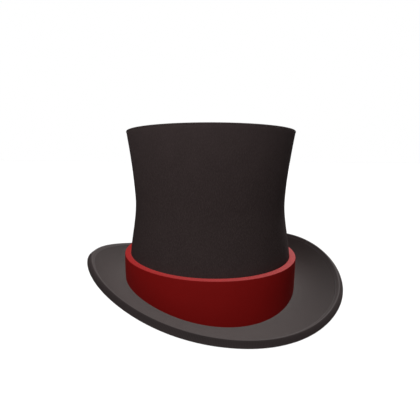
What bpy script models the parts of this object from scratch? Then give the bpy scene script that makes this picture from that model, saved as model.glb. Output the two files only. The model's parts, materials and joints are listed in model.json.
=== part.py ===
"""A stiff top hat: waisted crown, curled brim, padded band, leather sweatband and satin lining.

Frame: metres, +Z up, the hat's front towards -Y. The origin is on the ground under the middle
of the whole hat, which stands on the front and the back of its brim. The brim reaches further
at the front, so the crown's own axis lies a little behind the origin, at the empty "hat_axis".

A hatter starts from round blanks and presses them to the oval, curled shape of the block.
This script does the same: each ring is turned from its section, and then pressed by one of two
forms. crown_form shapes what stands up round the head, and brim_form shapes what lies in the
brim. Layers that share a form keep the gap between them wherever the form bends.
"""

import math

import bmesh
import bpy
from mathutils import Vector

# ---------------------------------------------------------------- driving dimensions, in metres

HEAD_CIRCUMFERENCE = 0.580  # round the inside of the sweatband
HEAD_LENGTH_TO_WIDTH = 1.08  # the head's oval, front to back against side to side
FIT_GAP = 0.0003  # clearance between pieces that touch on the real hat

SWEATBAND_THICKNESS = 0.0012
SWEATBAND_HEIGHT = 0.042  # from the brim's top face to the leather's free edge
REED_DIAMETER = 0.0018
LINING_THICKNESS = 0.0006
LINING_FOOT = 0.008  # the lining's lower edge, tucked behind the sweatband
FLANGE_THICKNESS = 0.0010
FLANGE_HEIGHT = 0.014
FLANGE_REACH = 0.0050  # how far the flange's foot runs out under the hatband
SHELL_THICKNESS = 0.0018
COVER_THICKNESS = 0.0016

CROWN_HEIGHT = 0.1802  # from the brim's top face to the tip, at the mean of the saddle
CROWN_STRAIGHT = 0.030  # the foot of the crown goes straight up this far
CROWN_WAIST_HEIGHT = 0.1000
CROWN_NIP = 0.0078  # how far the waist draws in from the foot
CROWN_FLARE = 0.0082  # how far the tip stands out from the waist
CROWN_FLARE_POWER = 1.5
TIP_BOARD_THICKNESS = 0.0020
TIP_EDGE_ROUND = 0.0008
PIPING_DIAMETER = 0.0020

BAND_HEIGHT = 0.0384  # at the mean of the saddle
BAND_THICKNESS = 0.0068
BAND_LIFT = 0.0006  # the band's lower edge stands just clear of the brim
RIBBON_THICKNESS = 0.0008
RIBBON_TURN = 0.008  # how far the ribbon turns down behind its padding
TAB_WIDTH = 0.022
TAB_THICKNESS = 0.0010
TAB_ANGLE = math.radians(15)  # from the wearer's left side towards the back

BRIM_SIDE = 0.0423  # width of the brim's layers at the sides, seen from above
BRIM_FRONT = 0.0555  # width at the front, without the soft point
BRIM_BACK = 0.0460
FRONT_POINT = 0.0030  # the brim runs out to a soft point at the front
FRONT_POINT_HALF_ANGLE = math.radians(16)
BRIM_CORNER_POWER = 2.15  # 2 is a plain ellipse, more fills its corners
BRIM_BLANK = 0.0470  # width of the flat blank that the brim is pressed from
LEDGE_MARGIN = 0.0016  # the flat ledge that the hatband stands on runs this far past it
SEAT_SADDLE = 0.0083  # the crown's foot rises this far at the sides and drops it front and back
RIM_SADDLE = 0.0148
RIM_RISE = 0.0239  # height of the rim over the crown's foot, at the mean of both saddles
CURL_POWER = 1.7
TOP_COVER_THICKNESS = 0.0010
BOARD_THICKNESS = 0.0022
UNDER_COVER_THICKNESS = 0.0008
WIRE_DIAMETER = 0.0018
BINDING_THICKNESS = 0.0008
BINDING_ON_TOP = 0.0025  # how far the binding's upper leg reaches in from the brim's edge
BINDING_UNDER = 0.0045  # and its lower leg

BOW_LENGTH = 0.018
BOW_HEIGHT = 0.008
BOW_KNOT = 0.0030
BOW_FULL_AT = 0.8  # share of the half length where a loop reaches its full height
BOW_THICKNESS = 0.0012
BOW_CENTRE_HEIGHT = 0.010
TICKET_WIDTH = 0.016
TICKET_HEIGHT = 0.012
TICKET_THICKNESS = 0.0004
TICKET_CENTRE_HEIGHT = 0.024
TICKET_ANGLE = math.radians(66)

AROUND = 38  # facets round the hat: an odd half, so the brim rests on a facet front and back
CROWN_ROWS = 4  # facets up to the waist, and as many again up to the tip
CURL_ROWS = 5
ROUND_SIDES = 6  # sides of a cord's section
STRIP_CUTS = 3
BOW_STEPS = 6
SMOOTH_ANGLE = math.radians(35)
FORM_STEP = 1e-4  # how far brim_form looks to either side to find the slope

# ---------------------------------------------------------------- sizes worked out from them

HEAD_HALF_WIDTH = HEAD_CIRCUMFERENCE / (math.pi * (1 + HEAD_LENGTH_TO_WIDTH))
SWEATBAND_OUT = HEAD_HALF_WIDTH + SWEATBAND_THICKNESS
LINING_IN = SWEATBAND_OUT + FIT_GAP
LINING_OUT = LINING_IN + LINING_THICKNESS
FLANGE_IN = LINING_OUT + FIT_GAP
FLANGE_OUT = FLANGE_IN + FLANGE_THICKNESS
SHELL_IN = FLANGE_OUT + FIT_GAP
SHELL_OUT = SHELL_IN + SHELL_THICKNESS
COVER_IN = SHELL_OUT + FIT_GAP
FOOT_RADIUS = COVER_IN + COVER_THICKNESS  # outer face of the crown at its foot, side to side
BAND_OUT = FOOT_RADIUS + BAND_THICKNESS

BRIM_IN = SWEATBAND_OUT + REED_DIAMETER + 2 * FIT_GAP
BRIM_OUT = FOOT_RADIUS + BRIM_BLANK
LEDGE = BAND_THICKNESS + LEDGE_MARGIN
BOARD_TOP = -TOP_COVER_THICKNESS - FIT_GAP
BOARD_BOTTOM = BOARD_TOP - BOARD_THICKNESS
UNDER_TOP = BOARD_BOTTOM - FIT_GAP
BRIM_BOTTOM = UNDER_TOP - UNDER_COVER_THICKNESS
WIRE_ROOM = WIRE_DIAMETER + 3 * FIT_GAP

# The middle of a facet lies this much closer to the axis than its corners do.
FACET_MIDDLE = math.cos(math.pi / AROUND)

# The lowest corners of the faceted brim stand on the ground, at z = 0.
SEAT_Z = SEAT_SADDLE * math.cos(2 * math.pi / AROUND) - BRIM_BOTTOM

# The crown's axis, so that the hat's front and back lie as far from the origin.
AXIS_Y = (BRIM_FRONT + FRONT_POINT - BRIM_BACK) / 2

TIP_COVER_BOTTOM = CROWN_HEIGHT - COVER_THICKNESS
TIP_BOARD_TOP = TIP_COVER_BOTTOM - FIT_GAP
TIP_BOARD_BOTTOM = TIP_BOARD_TOP - TIP_BOARD_THICKNESS
TIP_LINING_TOP = TIP_BOARD_BOTTOM - FIT_GAP
TIP_LINING_BOTTOM = TIP_LINING_TOP - LINING_THICKNESS


# ---------------------------------------------------------------- the block: two forms


def smooth_step(share):
    share = min(max(share, 0.0), 1.0)
    return share * share * (3 - 2 * share)


def waisted_radius(height):
    """Outer radius of the crown, side to side, at this height over the brim."""
    waist = FOOT_RADIUS - CROWN_NIP
    if height <= CROWN_WAIST_HEIGHT:
        share = (height - CROWN_STRAIGHT) / (CROWN_WAIST_HEIGHT - CROWN_STRAIGHT)
        return FOOT_RADIUS - CROWN_NIP * smooth_step(share)
    share = (height - CROWN_WAIST_HEIGHT) / (CROWN_HEIGHT - CROWN_WAIST_HEIGHT)
    return waist + CROWN_FLARE * share**CROWN_FLARE_POWER


def crown_rows():
    """Heights where every layer of the crown has a row of corners, so that the layers nest."""
    nip = CROWN_WAIST_HEIGHT - CROWN_STRAIGHT
    flare = CROWN_HEIGHT - CROWN_WAIST_HEIGHT
    rows = [0.0]
    rows += [CROWN_STRAIGHT + nip * step / CROWN_ROWS for step in range(CROWN_ROWS)]
    rows += [CROWN_WAIST_HEIGHT + flare * step / CROWN_ROWS for step in range(CROWN_ROWS + 1)]
    return rows


def block_radius(height):
    """The crown's outer radius on the straight facet between two rows."""
    rows = crown_rows()
    height = min(max(height, rows[0]), rows[-1])
    for low, high in zip(rows, rows[1:]):
        if height <= high:
            share = (height - low) / (high - low)
            return (1 - share) * waisted_radius(low) + share * waisted_radius(high)
    return waisted_radius(rows[-1])


def seat_height(angle):
    """Top face of the brim where the crown stands on it: a saddle, high at the sides."""
    return SEAT_Z + SEAT_SADDLE * math.cos(2 * angle)


def rim_height(angle):
    return SEAT_Z + RIM_RISE + RIM_SADDLE * math.cos(2 * angle)


def crown_form(radius, angle, height):
    """Presses a round blank to the head's oval, with its foot bent to the brim's saddle."""
    fade = min(max(1 - height / BAND_HEIGHT, 0.0), 1.0)
    bend = SEAT_SADDLE * math.cos(2 * angle) * fade
    return Vector(
        (
            radius * math.cos(angle),
            radius * HEAD_LENGTH_TO_WIDTH * math.sin(angle),
            SEAT_Z + height + bend,
        )
    )


def rim_radius(bearing):
    """Distance from the crown's axis to the edge of the brim's layers, at this bearing."""
    half_width = FOOT_RADIUS + BRIM_SIDE
    reach = BRIM_BACK if math.sin(bearing) > 0 else BRIM_FRONT
    half_length = FOOT_RADIUS * HEAD_LENGTH_TO_WIDTH + reach
    across = abs(math.cos(bearing) / half_width) ** BRIM_CORNER_POWER
    along = abs(math.sin(bearing) / half_length) ** BRIM_CORNER_POWER
    plain = (across + along) ** (-1 / BRIM_CORNER_POWER)
    off_front = math.acos(min(max(-math.sin(bearing), -1.0), 1.0))
    return plain + FRONT_POINT * math.exp(-((off_front / FRONT_POINT_HALF_ANGLE) ** 2))


def brim_surface(radius, angle):
    """Top face of the brim: a flat ledge at the crown, then a curl up to the rim."""
    out = radius - FOOT_RADIUS
    if out <= LEDGE:
        return crown_form(radius, angle, 0.0)
    ledge = crown_form(FOOT_RADIUS + LEDGE, angle, 0.0)
    bearing = math.atan2(ledge.y, ledge.x)
    share = (out - LEDGE) / (BRIM_BLANK - LEDGE)
    ledge_reach = math.hypot(ledge.x, ledge.y)
    reach = ledge_reach + share * (rim_radius(bearing) - ledge_reach)
    rise = (rim_height(angle) - seat_height(angle)) * share**CURL_POWER
    return Vector(
        (reach * math.cos(bearing), reach * math.sin(bearing), ledge.z + rise)
    )


def brim_form(radius, angle, lift):
    """Presses a flat washer to the curled brim, with lift measured square to its surface."""
    out = brim_surface(radius + FORM_STEP, angle) - brim_surface(radius - FORM_STEP, angle)
    turn = FORM_STEP / radius
    along = brim_surface(radius, angle + turn) - brim_surface(radius, angle - turn)
    return brim_surface(radius, angle) + lift * out.cross(along).normalized()


# ---------------------------------------------------------------- tools that every piece uses


def clear_scene():
    for item in list(bpy.data.objects):
        bpy.data.objects.remove(item, do_unlink=True)


def material(name, colour, roughness, metallic=0.0):
    made = bpy.data.materials.new(name)
    made.use_nodes = True
    shader = made.node_tree.nodes["Principled BSDF"]
    shader.inputs["Base Color"].default_value = (*colour, 1.0)
    shader.inputs["Roughness"].default_value = roughness
    shader.inputs["Metallic"].default_value = metallic
    return made


def start_hat():
    """The hat's collection, and the empty on the crown's axis that carries every piece."""
    made = bpy.data.collections.new("top_hat")
    bpy.context.scene.collection.children.link(made)
    axis = bpy.data.objects.new("hat_axis", None)
    axis.location.y = AXIS_Y
    made.objects.link(axis)


def add_piece(name, data, finish):
    piece = bpy.data.objects.new(name, data)
    data.materials.append(finish)
    bpy.data.collections["top_hat"].objects.link(piece)
    piece.parent = bpy.data.objects["hat_axis"]
    return piece


def press(mesh, form):
    """Moves each corner of a blank turned about Z to its place on the block."""
    for vertex in mesh.vertices:
        blank = vertex.co
        angle = math.atan2(blank.y, blank.x)
        vertex.co = form(math.hypot(blank.x, blank.y), angle, blank.z)


def turned(name, section, form, finish, closed=True):
    """A ring or a disc. The section's corners are (radius, height), down the outer side first."""
    outline = bpy.data.meshes.new(name + "_section")
    ends = len(section) if closed else len(section) - 1
    edges = [(here, (here + 1) % len(section)) for here in range(ends)]
    outline.from_pydata([(radius, 0, height) for radius, height in section], edges, [])
    blank = bpy.data.objects.new(name + "_blank", outline)
    bpy.context.scene.collection.objects.link(blank)
    turn = blank.modifiers.new("turn", "SCREW")
    turn.angle = 2 * math.pi
    turn.steps = AROUND
    turn.render_steps = AROUND
    turn.use_merge_vertices = True
    turn.merge_threshold = 0.00005
    graph = bpy.context.evaluated_depsgraph_get()
    mesh = bpy.data.meshes.new_from_object(blank.evaluated_get(graph))
    bpy.data.objects.remove(blank)
    bpy.data.meshes.remove(outline)
    mesh.name = name
    press(mesh, form)
    mesh.shade_smooth()
    mesh.set_sharp_from_angle(angle=SMOOTH_ANGLE)
    return add_piece(name, mesh, finish)


def crown_sheet(low, high, face, thickness):
    """Section of a sheet that follows the crown. face is its outer radius at the crown's foot."""
    inner_rows = [row for row in crown_rows() if low < row < high]
    rows = [low] + inner_rows + [high]
    depth = FOOT_RADIUS - face
    outer = [(block_radius(row) - depth, row) for row in reversed(rows)]
    inner = [(block_radius(row) - depth - thickness, row) for row in rows]
    return outer + inner


def brim_sheet(inner, outer, top, bottom):
    """Section of a layer of the brim, between two lifts from the brim's top face.

    The layers and the binding have their corners on the same rows, so that they nest.
    """
    ledge_edge = FOOT_RADIUS + LEDGE
    rows = [inner]
    if inner < FOOT_RADIUS:
        rows.append(FOOT_RADIUS)
    binding_edges = sorted([BRIM_OUT - BINDING_UNDER, BRIM_OUT - BINDING_ON_TOP])
    curl = binding_edges[0] - ledge_edge
    rows += [ledge_edge + curl * step / CURL_ROWS for step in range(CURL_ROWS + 1)]
    rows += [edge for edge in binding_edges[1:] if edge < outer]
    rows.append(outer)
    return [(row, top) for row in rows] + [(row, bottom) for row in reversed(rows)]


def cord_section(radius, height, diameter):
    """A round section, taken clockwise, which runs down its outer side."""
    corners = []
    for side in range(ROUND_SIDES):
        angle = math.pi / 2 - 2 * math.pi * (side + 0.5) / ROUND_SIDES
        corners.append(
            (
                radius + diameter / 2 * math.cos(angle),
                height + diameter / 2 * math.sin(angle),
            )
        )
    return corners


def disc_section(radius, top, bottom):
    return [(0.0, top), (radius, top), (radius, bottom), (0.0, bottom)]


def curved_strip(name, width, low, high, face, thickness, middle, finish):
    """A flat strip bent round the crown, with its inner face at this radius."""
    shape = bmesh.new()
    bmesh.ops.create_cube(shape, size=1.0)
    lengthwise = [edge for edge in shape.edges if edge.verts[0].co.x != edge.verts[1].co.x]
    bmesh.ops.subdivide_edges(shape, edges=lengthwise, cuts=STRIP_CUTS, use_grid_fill=True)
    for vertex in shape.verts:
        radius = face + thickness * (vertex.co.y + 0.5)
        height = low + (high - low) * (vertex.co.z + 0.5)
        # Looking outwards, +X of the strip runs clockwise, which keeps its faces outward.
        angle = middle - width * vertex.co.x / face
        vertex.co = crown_form(radius, angle, height)
    mesh = bpy.data.meshes.new(name)
    shape.to_mesh(mesh)
    shape.free()
    return add_piece(name, mesh, finish)


# ---------------------------------------------------------------- the crown


def make_crown(finishes):
    shell = crown_sheet(FIT_GAP, TIP_BOARD_BOTTOM - FIT_GAP, SHELL_OUT, SHELL_THICKNESS)
    turned("crown_shell", shell, crown_form, finishes["goss"])

    # The crown flares, so a disc fits inside it at the level of the disc's lower face.
    board_radius = block_radius(TIP_BOARD_BOTTOM) - (FOOT_RADIUS - SHELL_OUT)
    board = disc_section(board_radius, TIP_BOARD_TOP, TIP_BOARD_BOTTOM)
    turned("tip_board", board, crown_form, finishes["goss"], closed=False)

    cover = crown_sheet(
        FIT_GAP, TIP_COVER_BOTTOM - FIT_GAP, FOOT_RADIUS, COVER_THICKNESS
    )
    turned("crown_cover", cover, crown_form, finishes["crown felt"])

    tip_radius = block_radius(CROWN_HEIGHT)
    tip = [
        (0.0, CROWN_HEIGHT),
        (tip_radius - TIP_EDGE_ROUND, CROWN_HEIGHT),
        (tip_radius, CROWN_HEIGHT - TIP_EDGE_ROUND),
        (tip_radius, TIP_COVER_BOTTOM),
        (0.0, TIP_COVER_BOTTOM),
    ]
    turned("tip_cover", tip, crown_form, finishes["crown felt"], closed=False)


def make_lining(finishes):
    inside_shell = (
        block_radius(TIP_LINING_BOTTOM) - (FOOT_RADIUS - SHELL_IN) - FIT_GAP
    )
    tip = disc_section(inside_shell, TIP_LINING_TOP, TIP_LINING_BOTTOM)
    turned("tip_lining", tip, crown_form, finishes["satin"], closed=False)

    piping_height = TIP_LINING_BOTTOM - FIT_GAP - PIPING_DIAMETER / 2
    piping_radius = (
        block_radius(piping_height) - (FOOT_RADIUS - LINING_OUT) - PIPING_DIAMETER / 2
    )
    piping = cord_section(piping_radius, piping_height, PIPING_DIAMETER)
    turned("lining_piping", piping, crown_form, finishes["satin"])

    side_top = piping_height - PIPING_DIAMETER / 2 - FIT_GAP
    side = crown_sheet(LINING_FOOT, side_top, LINING_OUT, LINING_THICKNESS)
    turned("side_lining", side, crown_form, finishes["satin"])


# ---------------------------------------------------------------- the brim


def make_brim(finishes):
    flange_end = FOOT_RADIUS + FLANGE_REACH
    flange = [
        (FLANGE_OUT, FLANGE_HEIGHT),
        (FLANGE_OUT, 0.0),
        (flange_end, 0.0),
        (flange_end, -FLANGE_THICKNESS),
        (FLANGE_IN, -FLANGE_THICKNESS),
        (FLANGE_IN, FLANGE_HEIGHT),
    ]
    turned("brim_flange", flange, crown_form, finishes["goss"])

    cover_in = flange_end + FIT_GAP
    top = brim_sheet(cover_in, BRIM_OUT, 0.0, -TOP_COVER_THICKNESS)
    turned("brim_top_cover", top, brim_form, finishes["brim felt"])

    board = brim_sheet(BRIM_IN, BRIM_OUT - WIRE_ROOM, BOARD_TOP, BOARD_BOTTOM)
    turned("brim_board", board, brim_form, finishes["goss"])

    under = brim_sheet(BRIM_IN, BRIM_OUT, UNDER_TOP, BRIM_BOTTOM)
    turned("brim_under_cover", under, brim_form, finishes["under felt"])

    wire_radius = BRIM_OUT - WIRE_DIAMETER / 2 - FIT_GAP
    wire = cord_section(wire_radius, (BOARD_TOP + BOARD_BOTTOM) / 2, WIRE_DIAMETER)
    turned("brim_wire", wire, brim_form, finishes["wire"])


def make_binding(finishes):
    """A ribbon folded over the brim's edge."""
    room = BRIM_OUT + FIT_GAP
    face = room + BINDING_THICKNESS
    top_edge = BRIM_OUT - BINDING_ON_TOP
    under_edge = BRIM_OUT - BINDING_UNDER
    top = FIT_GAP + BINDING_THICKNESS
    bottom = BRIM_BOTTOM - FIT_GAP - BINDING_THICKNESS
    corner = BINDING_THICKNESS
    section = [
        (top_edge, top),
        (face - corner, top),
        (face, top - corner),
        (face, bottom + corner),
        (face - corner, bottom),
        (under_edge, bottom),
        (under_edge, BRIM_BOTTOM - FIT_GAP),
        (room, BRIM_BOTTOM - FIT_GAP),
        (room, FIT_GAP),
        (top_edge, FIT_GAP),
    ]
    turned("brim_binding", section, brim_form, finishes["binding"])


# ---------------------------------------------------------------- the hatband


def make_hatband(finishes):
    """Padding with a ribbon folded over its outside, and a tab over the ribbon's join."""
    low = BAND_LIFT
    high = BAND_HEIGHT
    crown_low = FOOT_RADIUS + FIT_GAP
    crown_high = block_radius(high) + FIT_GAP
    wall = RIBBON_THICKNESS + FIT_GAP

    core = [
        (BAND_OUT - wall, high - wall),
        (BAND_OUT - wall, low + wall),
        (crown_low + wall, low + wall),
        (crown_low + wall, high - wall),
    ]
    turned("hatband_core", core, crown_form, finishes["padding"])

    ribbon = [
        (crown_high, high),
        (BAND_OUT, high),
        (BAND_OUT, low),
        (crown_low, low),
        (crown_low, low + RIBBON_TURN),
        (crown_low + RIBBON_THICKNESS, low + RIBBON_TURN),
        (crown_low + RIBBON_THICKNESS, low + RIBBON_THICKNESS),
        (BAND_OUT - RIBBON_THICKNESS, low + RIBBON_THICKNESS),
        (BAND_OUT - RIBBON_THICKNESS, high - RIBBON_THICKNESS),
        (crown_low + RIBBON_THICKNESS, high - RIBBON_THICKNESS),
        (crown_low + RIBBON_THICKNESS, high - RIBBON_TURN),
        (crown_low, high - RIBBON_TURN),
    ]
    turned("hatband_ribbon", ribbon, crown_form, finishes["band"])

    curved_strip(
        "hatband_tab",
        TAB_WIDTH,
        low,
        high,
        BAND_OUT + FIT_GAP,
        TAB_THICKNESS,
        TAB_ANGLE,
        finishes["band"],
    )


# ---------------------------------------------------------------- the sweatband


def make_sweatband(finishes):
    low = BRIM_BOTTOM + FIT_GAP
    leather = crown_sheet(low, SWEATBAND_HEIGHT, SWEATBAND_OUT, SWEATBAND_THICKNESS)
    turned("sweatband", leather, crown_form, finishes["leather"])

    reed_radius = SWEATBAND_OUT + FIT_GAP + REED_DIAMETER / 2
    reed_height = -FLANGE_THICKNESS - FIT_GAP - REED_DIAMETER / 2
    reed = cord_section(reed_radius, reed_height, REED_DIAMETER)
    turned("sweatband_reed", reed, crown_form, finishes["reed"])

    curved_strip(
        "size_ticket",
        TICKET_WIDTH,
        TICKET_CENTRE_HEIGHT - TICKET_HEIGHT / 2,
        TICKET_CENTRE_HEIGHT + TICKET_HEIGHT / 2,
        HEAD_HALF_WIDTH * FACET_MIDDLE - FIT_GAP - TICKET_THICKNESS,
        TICKET_THICKNESS,
        TICKET_ANGLE,
        finishes["card"],
    )


def make_sweatband_bow(finishes):
    """A flat bow where the leather's ends meet, at the back of the head."""
    half = BOW_LENGTH / 2
    upper = []
    for step in range(-BOW_STEPS, BOW_STEPS + 1):
        share = step / BOW_STEPS
        loop = math.sin(math.pi / 2 * min(abs(share) / BOW_FULL_AT, 1.0))
        upper.append((half * share, (BOW_KNOT + (BOW_HEIGHT - BOW_KNOT) * loop) / 2))
    lower = [(across, -up) for across, up in reversed(upper)]

    outline = bpy.data.curves.new("sweatband_bow", "CURVE")
    outline.dimensions = "2D"
    outline.fill_mode = "BOTH"
    outline.extrude = BOW_THICKNESS / 2
    spline = outline.splines.new("POLY")
    corners = upper + lower
    spline.points.add(len(corners) - 1)
    for point, (across, up) in zip(spline.points, corners):
        point.co = (across, up, 0.0, 1.0)
    spline.use_cyclic_u = True

    # The leather curves away from the flat bow, so the bow's ends set its place.
    half_length = HEAD_HALF_WIDTH * HEAD_LENGTH_TO_WIDTH * FACET_MIDDLE
    leather_at_ends = half_length * math.sqrt(1 - (half / HEAD_HALF_WIDTH) ** 2)
    bow = add_piece("sweatband_bow", outline, finishes["reed"])
    height = crown_form(HEAD_HALF_WIDTH, math.pi / 2, BOW_CENTRE_HEIGHT).z
    away = leather_at_ends - FIT_GAP - BOW_THICKNESS / 2
    bow.location = (0, away, height)
    bow.rotation_euler.x = math.pi / 2


# ---------------------------------------------------------------- the hat


def make_finishes():
    return {
        "crown felt": material("crown felt", (0.027, 0.020, 0.020), 0.85),
        "brim felt": material("brim felt", (0.102, 0.083, 0.080), 0.85),
        "under felt": material("under felt", (0.030, 0.024, 0.024), 0.9),
        "binding": material("binding", (0.034, 0.026, 0.026), 0.6),
        "band": material("band", (0.150, 0.006, 0.005), 0.55),
        "padding": material("padding", (0.45, 0.42, 0.38), 0.95),
        "goss": material("goss", (0.35, 0.24, 0.12), 0.7),
        "leather": material("leather", (0.16, 0.075, 0.035), 0.5),
        "reed": material("reed", (0.02, 0.015, 0.015), 0.6),
        "satin": material("satin", (0.10, 0.01, 0.012), 0.35),
        "wire": material("wire", (0.45, 0.45, 0.46), 0.35, metallic=1.0),
        "card": material("card", (0.75, 0.70, 0.60), 0.8),
    }


def main():
    clear_scene()
    start_hat()
    finishes = make_finishes()
    make_crown(finishes)
    make_lining(finishes)
    make_brim(finishes)
    make_binding(finishes)
    make_hatband(finishes)
    make_sweatband(finishes)
    make_sweatband_bow(finishes)


main()
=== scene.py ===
# %% [markdown]
# # A stiff top hat
# A top hat is a stack of thin layers. A stiffened shell gives it its shape, felt covers the
# outside, satin and leather line the inside, and a padded red band hides the join with the brim.
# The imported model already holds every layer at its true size, as faceted solids. This lesson
# makes each layer again as the smooth, sewn and woven thing that it is, in the same place.

# %% Load the fixed frame
import json
import math

import bmesh
import bpy
import numpy as np
from mathutils import Matrix, Vector


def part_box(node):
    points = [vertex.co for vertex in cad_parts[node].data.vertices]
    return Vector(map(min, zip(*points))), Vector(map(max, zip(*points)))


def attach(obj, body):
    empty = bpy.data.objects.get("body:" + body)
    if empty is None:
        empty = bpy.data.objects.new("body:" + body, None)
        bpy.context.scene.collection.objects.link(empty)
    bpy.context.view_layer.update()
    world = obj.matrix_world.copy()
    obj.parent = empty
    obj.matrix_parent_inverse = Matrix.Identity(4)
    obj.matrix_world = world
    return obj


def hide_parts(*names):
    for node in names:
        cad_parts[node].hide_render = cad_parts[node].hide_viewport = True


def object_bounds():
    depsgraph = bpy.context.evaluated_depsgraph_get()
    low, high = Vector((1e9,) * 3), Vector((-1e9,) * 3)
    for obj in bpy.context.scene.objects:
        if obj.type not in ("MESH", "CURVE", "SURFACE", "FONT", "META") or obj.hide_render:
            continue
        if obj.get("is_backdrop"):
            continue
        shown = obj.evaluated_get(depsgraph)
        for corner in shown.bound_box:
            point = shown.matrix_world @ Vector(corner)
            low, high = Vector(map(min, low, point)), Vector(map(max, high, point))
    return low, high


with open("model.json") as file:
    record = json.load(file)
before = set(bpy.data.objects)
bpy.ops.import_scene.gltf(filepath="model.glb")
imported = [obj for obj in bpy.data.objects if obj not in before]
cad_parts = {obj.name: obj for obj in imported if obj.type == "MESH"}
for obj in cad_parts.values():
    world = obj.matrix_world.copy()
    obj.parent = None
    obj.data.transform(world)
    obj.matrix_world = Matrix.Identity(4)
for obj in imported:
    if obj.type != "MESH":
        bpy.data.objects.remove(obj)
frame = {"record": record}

cad_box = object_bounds()
print("the packed hat's box, in metres:", [[round(x, 4) for x in corner] for corner in cad_box])

# %% [markdown]
# ## The hat's own sizes
# A hatter measures from the crown's axis and from the brim's top face. The mount on the tip gives
# the axis, and the brim's face lies the crown's height below it. The other values are the sizes of
# the hat's layers, in metres. They nest from the head outwards, with a small gap between them.

# %% Where the hat stands in the frame
TIP_MOUNT = next(m for m in frame["record"]["mounts"] if m["name"] == "crown_top")
AXIS_Y = TIP_MOUNT["pos_m"][1]
TIP_Z = TIP_MOUNT["pos_m"][2]
CROWN_HEIGHT = 0.1802
SEAT_Z = TIP_Z - CROWN_HEIGHT
BAND_HEIGHT = 0.0384
print(f"axis at y = {AXIS_Y * 1000:.2f} mm, brim's top face at z = {SEAT_Z * 1000:.2f} mm")

# %% Layers from the head outwards
HEAD_ROUND = 0.580
OVAL = 1.08  # front to back against side to side
FIT_GAP = 0.0003
LEATHER = 0.0012
REED = 0.0018
SATIN = 0.0006
GOSS = 0.0018
FLANGE = 0.0010
FELT = 0.0016
BAND = 0.0068
HEAD = HEAD_ROUND / (math.pi * (1 + OVAL))  # half width of the opening
LEATHER_OUT = HEAD + LEATHER
SATIN_OUT = LEATHER_OUT + FIT_GAP + SATIN
FLANGE_OUT = SATIN_OUT + FIT_GAP + FLANGE
SHELL_OUT = FLANGE_OUT + FIT_GAP + GOSS
FOOT = SHELL_OUT + FIT_GAP + FELT  # outer face of the crown where it meets the brim
BAND_OUT = FOOT + BAND
print(f"crown {FOOT * 2000:.1f} mm wide at its foot, band {BAND_OUT * 2000:.1f} mm")

# %% The crown's waist and the brim's curl
STRAIGHT = 0.030
WAIST_HEIGHT = 0.1000
NIP = 0.0078
FLARE = 0.0082
FLARE_POWER = 1.5
BRIM_SIDE = 0.0423
BRIM_FRONT = 0.0555
BRIM_BACK = 0.0460
FRONT_POINT = 0.0030
FRONT_POINT_ANGLE = math.radians(16)
CORNER_POWER = 2.15
BLANK = 0.0470  # width of the flat washer that the brim is pressed from
LEDGE = BAND + 0.0016  # the band stands on this flat part of the brim
SEAT_SADDLE = 0.0083
RIM_SADDLE = 0.0148
RIM_RISE = 0.0239
CURL_POWER = 1.7
BRIM_OUT = FOOT + BLANK
BRIM_LAYERS = {"top": (0.0, -0.0010), "board": (-0.0013, -0.0035), "under": (-0.0038, -0.0046)}
BRIM_BOTTOM = BRIM_LAYERS["under"][1]
print(f"brim {(BRIM_FRONT + FRONT_POINT) * 1000:.1f} mm wide at the front")

# %% [markdown]
# ## The camera
# The hat is seen from just above its brim, a little to one side of its front. The lens is wide
# and close, so the near edge of the brim dips and the crown's top looks broad.

# %% Camera
CAMERA_AZIMUTH = -22.7
CAMERA_ELEVATION = 9.13
CAMERA_ROLL = math.radians(0.4)
CAMERA_DISTANCE = 0.3744
CAMERA_OVER_BAND = 0.0487
CAMERA_TARGET = Vector((0.0, AXIS_Y, SEAT_Z + BAND_HEIGHT + CAMERA_OVER_BAND))
CAMERA_FIELD = math.radians(70)
CAMERA_SHIFT = 0.00214


def bearing_to(azimuth, elevation):
    """The way out from the hat, in degrees: azimuth 0 is the hat's front, and 90 its left."""
    away, up = math.radians(azimuth), math.radians(elevation)
    return Vector((math.sin(away) * math.cos(up), -math.cos(away) * math.cos(up), math.sin(up)))


def make_camera():
    outward = bearing_to(CAMERA_AZIMUTH, CAMERA_ELEVATION)
    data = bpy.data.cameras.new("camera")
    data.angle = CAMERA_FIELD
    data.clip_start = 0.01
    data.shift_x = CAMERA_SHIFT
    camera = bpy.data.objects.new("camera", data)
    turn = outward.to_track_quat("Z", "Y").to_matrix() @ Matrix.Rotation(CAMERA_ROLL, 3, "Z")
    camera.matrix_world = Matrix.Translation(CAMERA_TARGET + outward * CAMERA_DISTANCE) @ turn.to_4x4()
    bpy.context.scene.collection.objects.link(camera)
    bpy.context.scene.camera = camera
    print(f"camera {CAMERA_DISTANCE * 1000:.0f} mm from the crown's axis")


make_camera()

# %% [markdown]
# ## Short words for nodes
# Every node tree below, for shapes and for finishes alike, is a chain of small sums. These
# helpers add a node, set or link its inputs, and give back its first output, so that the chain
# reads as a list of steps.

# %% Node helpers


def feed(tree, socket, value):
    """Links the socket to another node's output, or sets it to a plain value."""
    if isinstance(value, bpy.types.NodeSocket):
        tree.links.new(value, socket)
    else:
        socket.default_value = value


def add_node(tree, kind, inputs=None, **settings):
    """A new node. inputs maps a socket's name or number to a value or to another node's output."""
    made = tree.nodes.new(kind)
    for name, value in settings.items():
        setattr(made, name, value)
    for name, value in (inputs or {}).items():
        feed(tree, made.inputs[name], value)
    return made


def calc(tree, operation, *values, clamp=False):
    """One sum: the output of a Math node."""
    made = add_node(tree, "ShaderNodeMath", dict(enumerate(values)), operation=operation)
    made.use_clamp = clamp
    return made.outputs[0]


def noise(tree, place, scale, detail, roughness=0.5, distortion=0.0):
    """A noise texture's value, which is about 0.5 on average."""
    inputs = {"Vector": place, "Scale": scale, "Detail": detail}
    inputs.update({"Roughness": roughness, "Distortion": distortion})
    return add_node(tree, "ShaderNodeTexNoise", inputs).outputs["Fac"]


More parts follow.
